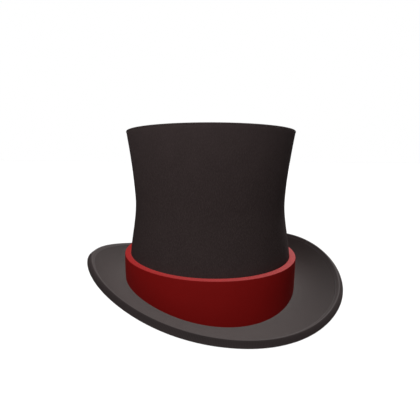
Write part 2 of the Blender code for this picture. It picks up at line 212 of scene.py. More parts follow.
def mix_colour(tree, share, first, second):
    """Two colours mixed by a share, which may come from a node."""
    made = add_node(tree, "ShaderNodeMix", {0: share}, data_type="RGBA")
    for number, colour in ((6, first), (7, second)):
        plain = isinstance(colour, tuple)
        feed(tree, made.inputs[number], (*colour, 1.0) if plain else colour)
    return made.outputs[2]


def add_sockets(tree, inputs, outputs):
    """The named inputs and outputs of a group: name: (kind, default)."""
    for name, (kind, value) in inputs.items():
        socket = tree.interface.new_socket(name, in_out="INPUT", socket_type="NodeSocket" + kind)
        if value is not None:
            socket.default_value = value
    for name, kind in outputs.items():
        tree.interface.new_socket(name, in_out="OUTPUT", socket_type="NodeSocket" + kind)
    start = tree.nodes.new("NodeGroupInput")
    end = tree.nodes.new("NodeGroupOutput")
    return start.outputs, end.inputs


# %% Helpers for materials and objects


def start_material(name):
    made = bpy.data.materials.new(name)
    made.use_nodes = True
    tree = made.node_tree
    return made, tree, tree.nodes["Principled BSDF"]


def paint(tree, shader, colour, roughness):
    tree.links.new(colour, shader.inputs["Base Color"])
    tree.links.new(roughness, shader.inputs["Roughness"])


def add_group(tree, group, **inputs):
    """A group's outputs. The group is set first, since it brings the sockets."""
    made = add_node(tree, "ShaderNodeGroup", node_tree=group)
    for name, value in inputs.items():
        feed(tree, made.inputs[name.replace("_", " ")], value)
    return made.outputs


def put(name, mesh):
    piece = bpy.data.objects.new(name, mesh)
    bpy.context.scene.collection.objects.link(piece)
    return piece


# %% [markdown]
# ## Light and floor
# The main light comes from high behind the hat's left side, the viewer's right. It reaches the
# brim's far curl and the band's flat top edge, and leaves the crown's front to a soft fill from the
# front left. Only part of the fill casts a shadow, as in a studio whose white walls throw light back
# into every hollow. Suns are used, because they light a wide floor evenly. The floor is plain and
# pale, but it throws little light back, so that the band is as bright at its foot as at its top. It
# is clear when seen from below, so that the lining can be looked at.

# %% Floor
FLOOR_REACH = 30.0
FLOOR_DROP = 0.0002  # clear of the lowest felt
FLOOR_SEEN = (0.80, 0.80, 0.80)
FLOOR_BOUNCE = (0.20, 0.20, 0.20)


def pale_paper():
    made, tree, shader = start_material("pale paper")
    seen = add_node(tree, "ShaderNodeLightPath").outputs["Is Camera Ray"]
    tree.links.new(mix_colour(tree, seen, FLOOR_BOUNCE, FLOOR_SEEN), shader.inputs["Base Color"])
    shader.inputs["Roughness"].default_value = 0.9
    shader.inputs["Specular IOR Level"].default_value = 0.1
    back = add_node(tree, "ShaderNodeNewGeometry").outputs["Backfacing"]
    clear = add_node(tree, "ShaderNodeBsdfTransparent").outputs[0]
    mix = add_node(tree, "ShaderNodeMixShader", {0: back, 1: shader.outputs[0], 2: clear})
    tree.links.new(mix.outputs[0], tree.nodes["Material Output"].inputs["Surface"])
    return made


def make_floor():
    shape = bmesh.new()
    low = Matrix.Translation((0.0, 0.0, -FLOOR_DROP))
    bmesh.ops.create_grid(shape, x_segments=1, y_segments=1, size=FLOOR_REACH, matrix=low)
    mesh = bpy.data.meshes.new("floor")
    shape.to_mesh(mesh)
    shape.free()
    mesh.materials.append(pale_paper())
    put("floor", mesh)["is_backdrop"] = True


make_floor()

# %% Lamps and sky
SUNS = (
    # name, strength, softness, azimuth and elevation in degrees, casts a shadow
    ("key", 5.2, 20, 132, 41, False),
    ("fill", 0.7, 50, -42, 24, True),
    ("walls", 1.2, 50, -42, 24, False),
)
SKY_STRENGTH = 0.03
WHITE = (1.0, 1.0, 1.0, 1.0)


def make_sun(name, strength, softness, azimuth, elevation, shadow):
    lamp = bpy.data.lights.new(name, "SUN")
    lamp.energy = strength
    lamp.use_shadow = shadow
    lamp.angle = math.radians(softness)
    sun = bpy.data.objects.new(name, lamp)
    sun.rotation_euler = bearing_to(azimuth, elevation).to_track_quat("Z", "Y").to_euler()
    bpy.context.scene.collection.objects.link(sun)


def make_sky():
    """White behind the hat, and a faint glow for the shadows."""
    world = bpy.data.worlds.new("studio")
    bpy.context.scene.world = world
    world.use_nodes = True
    tree = world.node_tree
    seen = add_node(tree, "ShaderNodeBackground", {"Color": WHITE}).outputs[0]
    lit = tree.nodes["Background"]
    lit.inputs["Color"].default_value = WHITE
    lit.inputs["Strength"].default_value = SKY_STRENGTH
    path = add_node(tree, "ShaderNodeLightPath").outputs["Is Camera Ray"]
    mix = add_node(tree, "ShaderNodeMixShader", {0: path, 1: lit.outputs[0], 2: seen})
    tree.links.new(mix.outputs[0], tree.nodes["World Output"].inputs["Surface"])
    bpy.context.scene.view_settings.view_transform = "Standard"


for row in SUNS:
    make_sun(*row)
make_sky()
print("suns:", [row[0] for row in SUNS])

# %% [markdown]
# ## Felt
# Felt has no weave. Millions of short fibres lie every way, so close up the eye sees fine crossing
# streaks, and further off a soft mottle. One node group makes both from stretched noise, and the
# crown, the brim and the underside each use it with their own colours. The brim's felt is the
# crown's felt painted lighter: painted light on its upward face.

# %% Node group: felt's nap
FIBRE_TURNS = (0.4, 1.5, 2.5)  # the three ways that the streaks lie
FIBRE_STRETCH = 0.16
MOTTLE_HEIGHT = 1.5  # against 1 for the fibres


def build_nap_group():
    tree = bpy.data.node_groups.new("felt nap", "ShaderNodeTree")
    start, end = add_sockets(
        tree,
        {"Vector": ("Vector", None), "Fibre Size": ("Float", 0.0005), "Mottle Size": ("Float", 0.02)},
        {"Fibres": "Float", "Mottle": "Float", "Height": "Float"},
    )
    fine = calc(tree, "DIVIDE", 1.0, start["Fibre Size"])
    streaks = []
    for turn in FIBRE_TURNS:
        lay = {"Rotation": (turn, turn * 0.7, turn), "Scale": (1.0, 1.0, FIBRE_STRETCH)}
        laid = add_node(tree, "ShaderNodeMapping", {"Vector": start["Vector"], **lay})
        streaks.append(noise(tree, laid.outputs[0], fine, 2.0, 0.6))
    tangle = calc(tree, "MAXIMUM", calc(tree, "MAXIMUM", streaks[0], streaks[1]), streaks[2])
    fibres = calc(tree, "MULTIPLY", calc(tree, "SUBTRACT", tangle, 0.5), 4.0, clamp=True)
    coarse = calc(tree, "DIVIDE", 1.0, start["Mottle Size"])
    mottle = noise(tree, start["Vector"], coarse, 5.0, 0.65)
    tree.links.new(fibres, end["Fibres"])
    tree.links.new(mottle, end["Mottle"])
    height = calc(tree, "ADD", fibres, calc(tree, "MULTIPLY", mottle, MOTTLE_HEIGHT))
    tree.links.new(height, end["Height"])
    return tree


NAP = build_nap_group()
print("felt nap group:", len(NAP.nodes), "nodes")

# %% [markdown]
# ## Rubbed edges, and painted light on two top faces
# Handling brightens the fibres along a hat's edges. Each mesh carries a rub number, which is 1 on
# such an edge and falls to 0 beside it. On the band's flat top and the binding's upper side the
# same number also paints light, where those faces lie up to the light from above. This group breaks
# that number up with noise, so that the lighter colour comes and goes along the edge.

# %% Node group: rubbed edges and painted light


def build_rub_group():
    tree = bpy.data.node_groups.new("rubbed edge", "ShaderNodeTree")
    start, end = add_sockets(
        tree,
        {
            "Vector": ("Vector", None),
            "Rub": ("Float", 0.0),
            "Patch Size": ("Float", 0.012),
            "Patchiness": ("Float", 1.0),
        },
        {"Wear_And_Light": "Float"},
    )
    scale = calc(tree, "DIVIDE", 1.0, start["Patch Size"])
    patches = noise(tree, start["Vector"], scale, 4.0)
    bare = calc(tree, "MULTIPLY_ADD", patches, -1.4, 1.2, clamp=True)
    broken = calc(tree, "SUBTRACT", 1.0, calc(tree, "MULTIPLY", bare, start["Patchiness"]))
    tree.links.new(calc(tree, "MULTIPLY", start["Rub"], broken, clamp=True), end["Wear_And_Light"])
    return tree


RUB_AND_LIGHT = build_rub_group()
print("rubbed edge group:", len(RUB_AND_LIGHT.nodes), "nodes")

# %% What the materials read and feed


def bump(tree, shader, height, depth):
    """Feeds the shader's normal from a height between 0 and about 1, of this depth in metres."""
    made = add_node(tree, "ShaderNodeBump", {"Height": height, "Distance": depth, "Strength": 1.0})
    tree.links.new(made.outputs["Normal"], shader.inputs["Normal"])


def coordinates(tree, kind):
    """Object, the place on the hat in metres, or UV, the place on the flat cloth."""
    return add_node(tree, "ShaderNodeTexCoord").outputs[kind]


def carried(tree, word):
    """A number that the mesh carries at each corner."""
    return add_node(tree, "ShaderNodeAttribute", attribute_name=word).outputs["Fac"]


# Rubbed wear on most pieces; on the band's top and the binding's upper side, painted light as well.
def wear_and_light_of(tree, place, patchiness=1.0):
    return add_group(tree, RUB_AND_LIGHT, Vector=place, Rub=carried(tree, "rub"), Patchiness=patchiness)["Wear_And_Light"]


# %% Felt materials
FELT_GLOSS = 0.03
FIBRE_SIZE = 0.00045
MOTTLE_SIZE = 0.018
NAP_DEPTH = 0.00018
FELT_SHADE = 0.72  # how dark the mottle's dark side is
FIBRE_SHARE = 0.55
WORN_SHARE = 0.6
FELT_ROUGH = 0.80


def felt(name, base, fibre, worn_and_lit, painted_shading=None):
    """The last colour is painted light on the crown and painted shade on the brim, laid on where the
    mesh's number for it is high.
    """
    made, tree, shader = start_material(name)
    place = coordinates(tree, "Object")
    nap = add_group(tree, NAP, Vector=place, Fibre_Size=FIBRE_SIZE, Mottle_Size=MOTTLE_SIZE)
    dark = tuple(part * FELT_SHADE for part in base)
    ground = mix_colour(tree, nap["Mottle"], dark, base)
    colour = mix_colour(tree, calc(tree, "MULTIPLY", nap["Fibres"], FIBRE_SHARE), ground, fibre)
    # Painted light and shade: the crown's side paler towards its tip, the brim darker out on its curl.
    if painted_shading:
        drift = calc(tree, "MULTIPLY_ADD", nap["Mottle"], 0.5, 0.75)
        share = calc(tree, "MULTIPLY", carried(tree, "painted_shading"), drift, clamp=True)
        colour = mix_colour(tree, share, colour, painted_shading)
    wear = calc(tree, "MULTIPLY", wear_and_light_of(tree, place), WORN_SHARE)
    level = calc(tree, "MULTIPLY_ADD", nap["Mottle"], 0.12, FELT_ROUGH)
    paint(tree, shader, mix_colour(tree, wear, colour, worn_and_lit), level)
    shader.inputs["Specular IOR Level"].default_value = FELT_GLOSS
    bump(tree, shader, nap["Height"], NAP_DEPTH)
    return made


# The last colour is painted light, laid on the crown's side paler towards its tip.
CROWN_FELT = felt(
    "crown felt",
    base=(0.0410, 0.0291, 0.0286),
    fibre=(0.0740, 0.0555, 0.0547),
    worn_and_lit=(0.0805, 0.0612, 0.0596),
    painted_shading=(0.0730, 0.0540, 0.0540),
)
# The crown's felt painted lighter, since the brim's top faces the light; its last colour is painted
# shade, darker out towards the rim.
BRIM_FELT_PAINTED_LIGHTER = felt(
    "brim felt",
    base=(0.070, 0.059, 0.057),
    fibre=(0.112, 0.096, 0.093),
    worn_and_lit=(0.075, 0.063, 0.061),
    painted_shading=(0.046, 0.0378, 0.0368),
)
UNDER_FELT = felt(
    "under felt",
    base=(0.043, 0.033, 0.032),
    fibre=(0.070, 0.057, 0.055),
    worn_and_lit=(0.080, 0.067, 0.065),
)
print("felt finishes:", [m.name for m in (CROWN_FELT, BRIM_FELT_PAINTED_LIGHTER, UNDER_FELT)])

# %% [markdown]
# ## Ribbed ribbon
# The band, its tab and the binding are ribbed ribbon: thick threads lie across the ribbon and
# stand up as ribs, and thin warp threads run along it. The pattern follows the piece's own UV map,
# which is measured in metres, so a rib is as wide on one piece as on the next.

# %% Node group: ribs


def build_rib_group():
    tree = bpy.data.node_groups.new("ribbon ribs", "ShaderNodeTree")
    start, end = add_sockets(
        tree,
        {"Vector": ("Vector", None), "Rib Pitch": ("Float", 0.0009), "Warp Pitch": ("Float", 0.00035)},
        {"Rib": "Float", "Height": "Float"},
    )
    along = add_node(tree, "ShaderNodeSeparateXYZ", {"Vector": start["Vector"]})
    waves = []
    for axis, pitch in (("X", "Rib Pitch"), ("Y", "Warp Pitch")):
        turns = calc(tree, "DIVIDE", along.outputs[axis], start[pitch])
        wave = calc(tree, "SINE", calc(tree, "MULTIPLY", turns, 2 * math.pi))
        waves.append(calc(tree, "MULTIPLY_ADD", wave, 0.5, 0.5))
    rib = calc(tree, "POWER", waves[0], 0.6)
    tree.links.new(rib, end["Rib"])
    tree.links.new(calc(tree, "MULTIPLY_ADD", waves[1], 0.12, rib), end["Height"])
    return tree


RIBS = build_rib_group()
print("ribbon ribs group:", len(RIBS.nodes), "nodes")

# %% Ribbon materials
RIBBON_GLOSS = 0.06
RIBBON_SHADE = 0.82  # how far its colour has faded in patches
FADED_PATCHES = 45.0  # to the metre
RIBBON_ROUGH = 0.71  # between the ribs, and a little smoother on them


def ribbon(name, base, groove, worn_and_lit, pitch, depth):
    made, tree, shader = start_material(name)
    place = coordinates(tree, "Object")
    ribs = add_group(tree, RIBS, Vector=coordinates(tree, "UV"), Rib_Pitch=pitch)
    faded = tuple(part * RIBBON_SHADE for part in base)
    ground = mix_colour(tree, noise(tree, place, FADED_PATCHES, 4.0, 0.6), faded, base)
    # The grooves between the ribs are painted darker: painted shade in the recesses.
    ribbed = mix_colour(tree, ribs["Rib"], groove, ground)
    # Lighter where the rub number is high: rubbed wear, and painted light on the band's top and the
    # binding's upper side.
    rubbed = calc(tree, "MULTIPLY", wear_and_light_of(tree, place, patchiness=0.4), 0.9)
    level = calc(tree, "MULTIPLY_ADD", ribs["Rib"], -0.10, RIBBON_ROUGH)
    paint(tree, shader, mix_colour(tree, rubbed, ribbed, worn_and_lit), level)
    shader.inputs["Specular IOR Level"].default_value = RIBBON_GLOSS
    bump(tree, shader, ribs["Height"], depth)
    return made


# The lighter colour after the groove is rubbed wear at the band's top edge and painted light on its
# flat top.
BAND_RIBBON = ribbon(
    "band ribbon",
    base=(0.258, 0.0070, 0.0062),
    groove=(0.172, 0.0041, 0.0035),
    worn_and_lit=(0.285, 0.008, 0.008),
    pitch=0.0009,
    depth=0.00010,
)
# Its lighter colour is rubbed wear at the fold and painted light on the upper side, which faces the
# light.
BINDING_RIBBON = ribbon(
    "binding ribbon",
    base=(0.052, 0.0400, 0.0397),
    groove=(0.032, 0.0241, 0.0240),
    worn_and_lit=(0.062, 0.0514, 0.0501),
    pitch=0.0008,
    depth=0.00008,
)
BLACK_RIBBON = ribbon(
    "black ribbon",
    base=(0.016, 0.012, 0.012),
    groove=(0.008, 0.006, 0.006),
    worn_and_lit=(0.05, 0.04, 0.04),
    pitch=0.0007,
    depth=0.00007,
)

# %% [markdown]
# ## Satin, leather and the hidden layers
# Satin's threads float over each other, so it shines along one way and shows fine lines across.
# The leather has pores and creases. The stiffened cloth, the wadding, the wire and the card are
# hidden or small, but each has its own finish, so that a cut-away hat would look right as well.

# %% Satin


def satin(name, base, shadow):
    made, tree, shader = start_material(name)
    across = coordinates(tree, "UV")
    threads = add_group(tree, RIBS, Vector=across, Rib_Pitch=0.0004, Warp_Pitch=0.0012)
    cloud = noise(tree, coordinates(tree, "Object"), 60.0, 3.0, 0.55)
    colour = mix_colour(tree, threads["Rib"], shadow, mix_colour(tree, cloud, shadow, base))
    paint(tree, shader, colour, calc(tree, "MULTIPLY_ADD", cloud, 0.16, 0.38))
    shader.inputs["Specular IOR Level"].default_value = 0.16
    shader.inputs["Specular Tint"].default_value = (1.0, 0.5, 0.5, 1.0)
    shader.inputs["Anisotropic"].default_value = 0.4
    shader.inputs["Sheen Weight"].default_value = 0.2
    shader.inputs["Sheen Tint"].default_value = (0.7, 0.25, 0.25, 1.0)
    bump(tree, shader, threads["Height"], 0.00003)
    return made


SATIN_RED = satin("red satin", (0.135, 0.012, 0.014), (0.070, 0.006, 0.008))

# %% Leather


def leather(name, base, pore, worn_and_lit):
    made, tree, shader = start_material(name)
    place = coordinates(tree, "Object")
    grain = add_node(tree, "ShaderNodeTexVoronoi", {"Vector": place, "Scale": 900.0, "Randomness": 1.0})
    pebble = calc(tree, "MULTIPLY", grain.outputs["Distance"], 1.6, clamp=True)
    crease = noise(tree, place, 130.0, 6.0, 0.7, 0.8)
    colour = mix_colour(tree, wear_and_light_of(tree, place), mix_colour(tree, crease, pore, base), worn_and_lit)
    paint(tree, shader, colour, calc(tree, "MULTIPLY_ADD", crease, 0.25, 0.45))
    shader.inputs["Specular IOR Level"].default_value = 0.18
    bump(tree, shader, calc(tree, "MULTIPLY_ADD", crease, 1.2, pebble), 0.00012)
    return made


TAN_LEATHER = leather(
    "sweatband leather", (0.20, 0.092, 0.042), (0.10, 0.045, 0.020), (0.30, 0.16, 0.085)
)

# %% Stiffened cloth, wadding, wire and card


def plain_weave(name, base, gap, size, rough, depth):
    """A coarse cloth or board: small, fairly even cells, whose gaps show more in some places."""
    made, tree, shader = start_material(name)
    place = coordinates(tree, "Object")
    yarns = {"Vector": place, "Scale": 1 / size, "Randomness": 0.4}
    cells = add_node(tree, "ShaderNodeTexVoronoi", yarns).outputs["Distance"]
    cloud = noise(tree, place, 40.0, 4.0)
    colour = mix_colour(tree, calc(tree, "MULTIPLY", cells, cloud, clamp=True), base, gap)
    paint(tree, shader, colour, calc(tree, "MULTIPLY_ADD", cloud, 0.2, rough - 0.1))
    bump(tree, shader, cells, depth)
    return made


GOSS_CLOTH = plain_weave("goss", (0.35, 0.24, 0.12), (0.20, 0.12, 0.055), 0.0011, 0.6, 0.00012)
WADDING = plain_weave("wadding", (0.45, 0.42, 0.38), (0.33, 0.30, 0.27), 0.0016, 0.95, 0.0003)
TICKET_CARD = plain_weave("ticket card", (0.72, 0.67, 0.57), (0.60, 0.54, 0.44), 0.0005, 0.85, 0.00002)


def steel_wire():
    made, tree, shader = start_material("brim wire")
    drawn = noise(tree, coordinates(tree, "Object"), 400.0, 3.0)
    colour = mix_colour(tree, drawn, (0.34, 0.33, 0.32), (0.50, 0.50, 0.51))
    paint(tree, shader, colour, calc(tree, "MULTIPLY_ADD", drawn, 0.2, 0.28))
    shader.inputs["Metallic"].default_value = 1.0
    return made


STEEL = steel_wire()

# %% Thread


def thread(name, base, shadow):
    """Waxed cotton: two strands twisted together, so a stitch shows slanting bands."""
    made, tree, shader = start_material(name)
    bands = {"Vector": coordinates(tree, "Object"), "Scale": 900.0, "Distortion": 2.0}
    twist = add_node(tree, "ShaderNodeTexWave", bands, bands_direction="DIAGONAL").outputs["Fac"]
    colour = mix_colour(tree, twist, shadow, base)
    paint(tree, shader, colour, calc(tree, "MULTIPLY_ADD", twist, -0.15, 0.65))
    bump(tree, shader, twist, 0.00005)
    return made


BLACK_THREAD = thread("black thread", (0.045, 0.038, 0.037), (0.016, 0.013, 0.013))
RED_THREAD = thread("red thread", (0.17, 0.010, 0.009), (0.07, 0.004, 0.004))
TAN_THREAD = thread("tan thread", (0.42, 0.30, 0.19), (0.22, 0.14, 0.08))
print("finishes so far:", len(bpy.data.materials))

# %% [markdown]
# ## A ring turned from its section
# Almost every layer of a hat goes once round the head. So each one starts as a section, a closed
# outline drawn as (radius, height), and is turned round the Z axis as a round blank. Its UV map is
# in metres: round the hat, and along the section. A hatter would next press it on the block.

# %% Sections
AROUND = 228  # columns round the hat in a piece that shows
AROUND_HIDDEN = 114
EDGE_STEPS = 3  # points on each rounded corner of a section
SHARP_TURN = math.radians(30)
CORNER_SHARE = 0.45  # a corner takes no more of the sides beside it


def rounded(section, radius, steps=EDGE_STEPS):
    """The closed section with its sharp corners turned to small arcs."""
    smooth = []
    count = len(section)
    for index, here in enumerate(section):
        corner = Vector(here)
        before = Vector(section[index - 1]) - corner
        after = Vector(section[(index + 1) % count]) - corner
        if math.pi - before.angle(after) < SHARP_TURN:
            smooth.append(tuple(corner))
            continue
        reach = min(radius, before.length * CORNER_SHARE, after.length * CORNER_SHARE)
        start = corner + before.normalized() * reach
        end = corner + after.normalized() * reach
        for step in range(steps + 1):
            share = step / steps
            bend = (1 - share) ** 2 * start + 2 * share * (1 - share) * corner + share**2 * end
            smooth.append(tuple(bend))
    return smooth


def evenly(low, high, spacing):
    """Heights from low to high at about this spacing, with both ends."""
    count = max(1, round(abs(high - low) / spacing))
    return [low + (high - low) * step / count for step in range(count + 1)]


def outline_length(section):
    points = np.array(section)
    return np.concatenate([[0.0], np.cumsum(np.linalg.norm(np.diff(points, axis=0), axis=1))])


def round_way(radius):
    """The way round the oval whose half width is this radius."""
    return math.pi * radius * (1 + OVAL)


def clamped(share):
    return min(max(share, 0.0), 1.0)


def fading(distance, reach):
    """1 at no distance, and 0 at this reach and past it."""
    return clamped(1.0 - distance / reach)


# %% Turning a section


def close_up(mesh):
    """Merges doubles at seams and poles, points faces outwards and shades smooth."""
    shape = bmesh.new()
    shape.from_mesh(mesh)
    bmesh.ops.remove_doubles(shape, verts=shape.verts, dist=1e-6)
    bmesh.ops.recalc_face_normals(shape, faces=shape.faces)
    shape.to_mesh(mesh)
    shape.free()
    mesh.shade_smooth()
    return mesh


def turned(name, section, around=AROUND, closed=True, change=None, **numbers):
    """A round blank. change moves the whole grid of corners. Each of numbers gives every point of
    the section a value, such as its rub."""
    outline = list(section) + [section[0]] if closed else list(section)
    rows = len(outline)
    turns = np.arange(around) * 2 * math.pi / around
    radius, height = (np.repeat(part[None, :], around, 0) for part in np.array(outline).T)
    angle = np.repeat(turns[:, None], rows, 1)
    if change:
        radius, angle, height = change(radius, angle, height)
    corners = np.stack([radius * np.cos(angle), radius * np.sin(angle), height], -1).reshape(-1, 3)
    column, row = np.indices((around, rows - 1)).reshape(2, -1)
    here, beside = column * rows + row, (column + 1) % around * rows + row
    faces = np.stack([here, beside, beside + 1, here + 1], 1)
    mesh = bpy.data.meshes.new(name)
    mesh.from_pydata(corners.tolist(), [], faces.tolist())
    along = outline_length(outline)
    across = np.stack([column, column + 1, column + 1, column], 1) * round_way(FOOT) / around
    down = np.stack([along[row], along[row], along[row + 1], along[row + 1]], 1)
    mesh.uv_layers.new(name="cut").data.foreach_set("uv", np.stack([across, down], -1).ravel())
    for word, rule in numbers.items():
        shares = [rule(*point) for point in outline]
        number = mesh.attributes.new(word, "FLOAT", "POINT")
        number.data.foreach_set("value", np.tile(shares, around).astype(np.float32))
    return close_up(mesh)


# %% [markdown]
# ## Pressing the crown on the block
# A head is an oval, and the brim is a saddle. So the press makes a round blank longer from front to
# back, lifts it to the brim, and bends its foot up at the sides and down at the front and back. The
# bend fades out at the band's top edge. It is a rule for every corner of the mesh, so it is made as
# Geometry Nodes, and one tree presses all the rings of the crown. Hand work shows as a swell of
# less than half a millimetre.

# %% Geometry Nodes: the crown's block
SWELL_SCALE = 11.0  # swells to the metre
HAND_SWELL = 0.0012
MEAN_RADIUS = 0.09


def build_press_tree():
    tree = bpy.data.node_groups.new("press on the block", "GeometryNodeTree")
    start, end = add_sockets(
        tree,
        {
            "Geometry": ("Geometry", None),
            "Oval": ("Float", OVAL),
            "Seat Height": ("Float", SEAT_Z),
            "Saddle": ("Float", SEAT_SADDLE),
            "Fade Height": ("Float", BAND_HEIGHT),
            "Axis Y": ("Float", AXIS_Y),
            "Hand Swell": ("Float", 0.0),
            "Finish": ("Material", None),
        },
        {"Geometry": "Geometry"},
    )
    place = tree.nodes.new("GeometryNodeInputPosition").outputs[0]
    x, y, z = add_node(tree, "ShaderNodeSeparateXYZ", {0: place}).outputs
    xx = calc(tree, "MULTIPLY", x, x)
    yy = calc(tree, "MULTIPLY", y, y)
    far = calc(tree, "MAXIMUM", calc(tree, "ADD", xx, yy), 1e-9)
    saddle = calc(tree, "DIVIDE", calc(tree, "SUBTRACT", xx, yy), far)
    fade = calc(tree, "SUBTRACT", 1.0, calc(tree, "DIVIDE", z, start["Fade Height"]), clamp=True)
    bend = calc(tree, "MULTIPLY", calc(tree, "MULTIPLY", saddle, fade), start["Saddle"])
    swell = calc(tree, "SUBTRACT", noise(tree, place, SWELL_SCALE, 1.0), 0.5)
    free = calc(tree, "SUBTRACT", 1.0, fade)
    push = calc(tree, "MULTIPLY", calc(tree, "MULTIPLY", swell, free), start["Hand Swell"])
    grow = calc(tree, "ADD", 1.0, calc(tree, "DIVIDE", push, MEAN_RADIUS))
    wide = calc(tree, "MULTIPLY", x, grow)
    long = calc(tree, "MULTIPLY", calc(tree, "MULTIPLY", y, grow), start["Oval"])
    back = calc(tree, "ADD", long, start["Axis Y"])
    up = calc(tree, "ADD", calc(tree, "ADD", z, bend), start["Seat Height"])
    pushed = add_node(tree, "ShaderNodeCombineXYZ", {0: wide, 1: back, 2: up}).outputs[0]
    places = {"Geometry": start["Geometry"], "Position": pushed}
    moved = add_node(tree, "GeometryNodeSetPosition", places).outputs[0]
    dress = {"Geometry": moved, "Material": start["Finish"]}
    tree.links.new(add_node(tree, "GeometryNodeSetMaterial", dress).outputs[0], end["Geometry"])
    return tree


PRESS = build_press_tree()
print("the crown's block:", len(PRESS.nodes), "nodes")

# %% Running a tree on a piece


def set_inputs(modifier, values):
    """Sets a tree's named inputs, each by its socket's identifier."""
    for item in modifier.node_group.interface.items_tree:
        if item.item_type == "SOCKET" and item.in_out == "INPUT" and item.name in values:
            modifier[item.identifier] = values[item.name]


def run_tree(piece, tree, values):
    """Runs a tree on a piece and keeps its result as the piece's own plain mesh."""
    modifier = piece.modifiers.new(tree.name, "NODES")
    modifier.node_group = tree
    set_inputs(modifier, values)
    graph = bpy.context.evaluated_depsgraph_get()
    mesh = bpy.data.meshes.new_from_object(piece.evaluated_get(graph))
    piece.modifiers.clear()
    piece.data = mesh
    mesh.name = piece.name
    return piece


def pressed(name, mesh, finish):
    return run_tree(put(name, mesh), PRESS, {"Finish": finish, "Hand Swell": HAND_SWELL})


# %% Handing a piece to the frame


def hand_over(piece, slot, *nodes):
    """The piece rides on the hat and stands for its CAD nodes, which it hides. slot is not used."""
    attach(piece, "root")
    faces = len(piece.data.polygons)
    if nodes:
        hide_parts(*nodes)
        low, high = (np.array(corner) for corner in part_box(nodes[0]))
        own = np.array([vertex.co for vertex in piece.data.vertices])
        past = max(float((low - own.min(0)).max()), float((own.max(0) - high).max()))
        print(f"{piece.name}: {faces} faces, {past * 1000:+.2f} mm past its CAD box")
    else:
        print(f"{piece.name}: {faces} faces")


def ring(name, section, finish, slot, *nodes, around=AROUND, **options):
    """A ring of the crown: turned from its section, pressed on the block, and handed over."""
    piece = pressed(name, turned(name, section, around, **options), finish)
    hand_over(piece, slot, *nodes)
    return piece


# %% [markdown]
# ## The crown
# The outside of the crown goes straight up from the brim, draws in to a waist, and flares to the
# tip. Shell, felt and lining all follow that one line, each at its own depth.

# %% The crown's line


def waisted(height):
    """Outer radius of the crown, side to side, at this height over the brim."""
    if height <= WAIST_HEIGHT:
        share = clamped((height - STRAIGHT) / (WAIST_HEIGHT - STRAIGHT))
        return FOOT - NIP * share * share * (3 - 2 * share)
    share = (height - WAIST_HEIGHT) / (CROWN_HEIGHT - WAIST_HEIGHT)
    return FOOT - NIP + FLARE * share**FLARE_POWER


def crown_wall(low, high, face, thickness, spacing=0.004):
    """Section of a layer of the crown. face is its outer radius at the foot."""
    depth = FOOT - face
    outer = [(waisted(height) - depth, height) for height in evenly(high, low, spacing)]
    inner = [(waisted(height) - depth - thickness, height) for height in evenly(low, high, spacing)]
    return outer + inner


def disc(radius, top, bottom, spacing):
    """Section of a disc, from the pole on top round its edge to the pole below."""
    upper = [(reach, top) for reach in evenly(0.0, radius, spacing)]
    lower = [(reach, bottom) for reach in evenly(radius, 0.0, spacing)]
    return upper + lower


TIP = waisted(CROWN_HEIGHT)
TIP_BOARD_THICKNESS = 0.0020
TIP_FELT_LOW = CROWN_HEIGHT - FELT
TIP_BOARD = (TIP_FELT_LOW - FIT_GAP, TIP_FELT_LOW - FIT_GAP - TIP_BOARD_THICKNESS)
TIP_SATIN = (TIP_BOARD[1] - FIT_GAP, TIP_BOARD[1] - FIT_GAP - SATIN)
print(f"waist {waisted(WAIST_HEIGHT) * 2000:.1f} mm wide, tip {TIP * 2000:.1f} mm")

# %% Shell and tip board
HIDDEN = {"around": AROUND_HIDDEN}
shell_wall = rounded(crown_wall(FIT_GAP, TIP_BOARD[1] - FIT_GAP, SHELL_OUT, GOSS, 0.008), 0.0004)
crown_shell = ring("goss_shell", shell_wall, GOSS_CLOTH, "goss", "crown_shell", **HIDDEN)
board_disc = disc(waisted(TIP_BOARD[1]) - (FOOT - SHELL_OUT), *TIP_BOARD, 0.02)
tip_board = ring("goss_tip", board_disc, GOSS_CLOTH, "goss", "tip_board", closed=False, **HIDDEN)

# %% [markdown]
# ## The felt outside
# The side is one sheet of felt, drawn over the shell. The tip is a separate oval. The two edges
# meet at a tight rounded corner, where handling rubs the nap, so both carry rub there. The side is
# also painted paler towards the tip: painted light from above.

# %% Crown felt
EDGE_ROUND = 0.0009
RUB_REACH = 0.004
TIP_LIGHT_REACH = 0.025
TIP_LIGHT_SHARE = 0.45
SEAM = 0.00005  # the two felts butt together at the tip's edge


def near_tip(radius, height):
    """Rub on the crown's felt: full at the tip's edge, and gone a few millimetres away."""
    return fading(math.hypot(CROWN_HEIGHT - height, TIP - radius), RUB_REACH)


def painted_light_towards_tip(radius, height):
    """Painted light: paler from the waist up towards the tip, and on the tip's top face only near its
    edge.
    """
    up = fading(CROWN_HEIGHT - height, CROWN_HEIGHT - WAIST_HEIGHT)
    out = fading(TIP - FELT - radius, TIP_LIGHT_REACH)
    return TIP_LIGHT_SHARE * up**1.5 * (out if height > CROWN_HEIGHT - EDGE_ROUND else 1.0)


CROWN_NUMBERS = {"rub": near_tip, "painted_shading": painted_light_towards_tip}
side_wall = rounded(crown_wall(FIT_GAP, TIP_FELT_LOW - SEAM, FOOT, FELT), 0.0003)
felt_side = ring("felt_side", side_wall, CROWN_FELT, "crown_felt", "crown_cover", **CROWN_NUMBERS)

# %% Tip felt
CORNER_STEPS = 5
TUCK = 0.0001  # the lower edge is drawn in this far


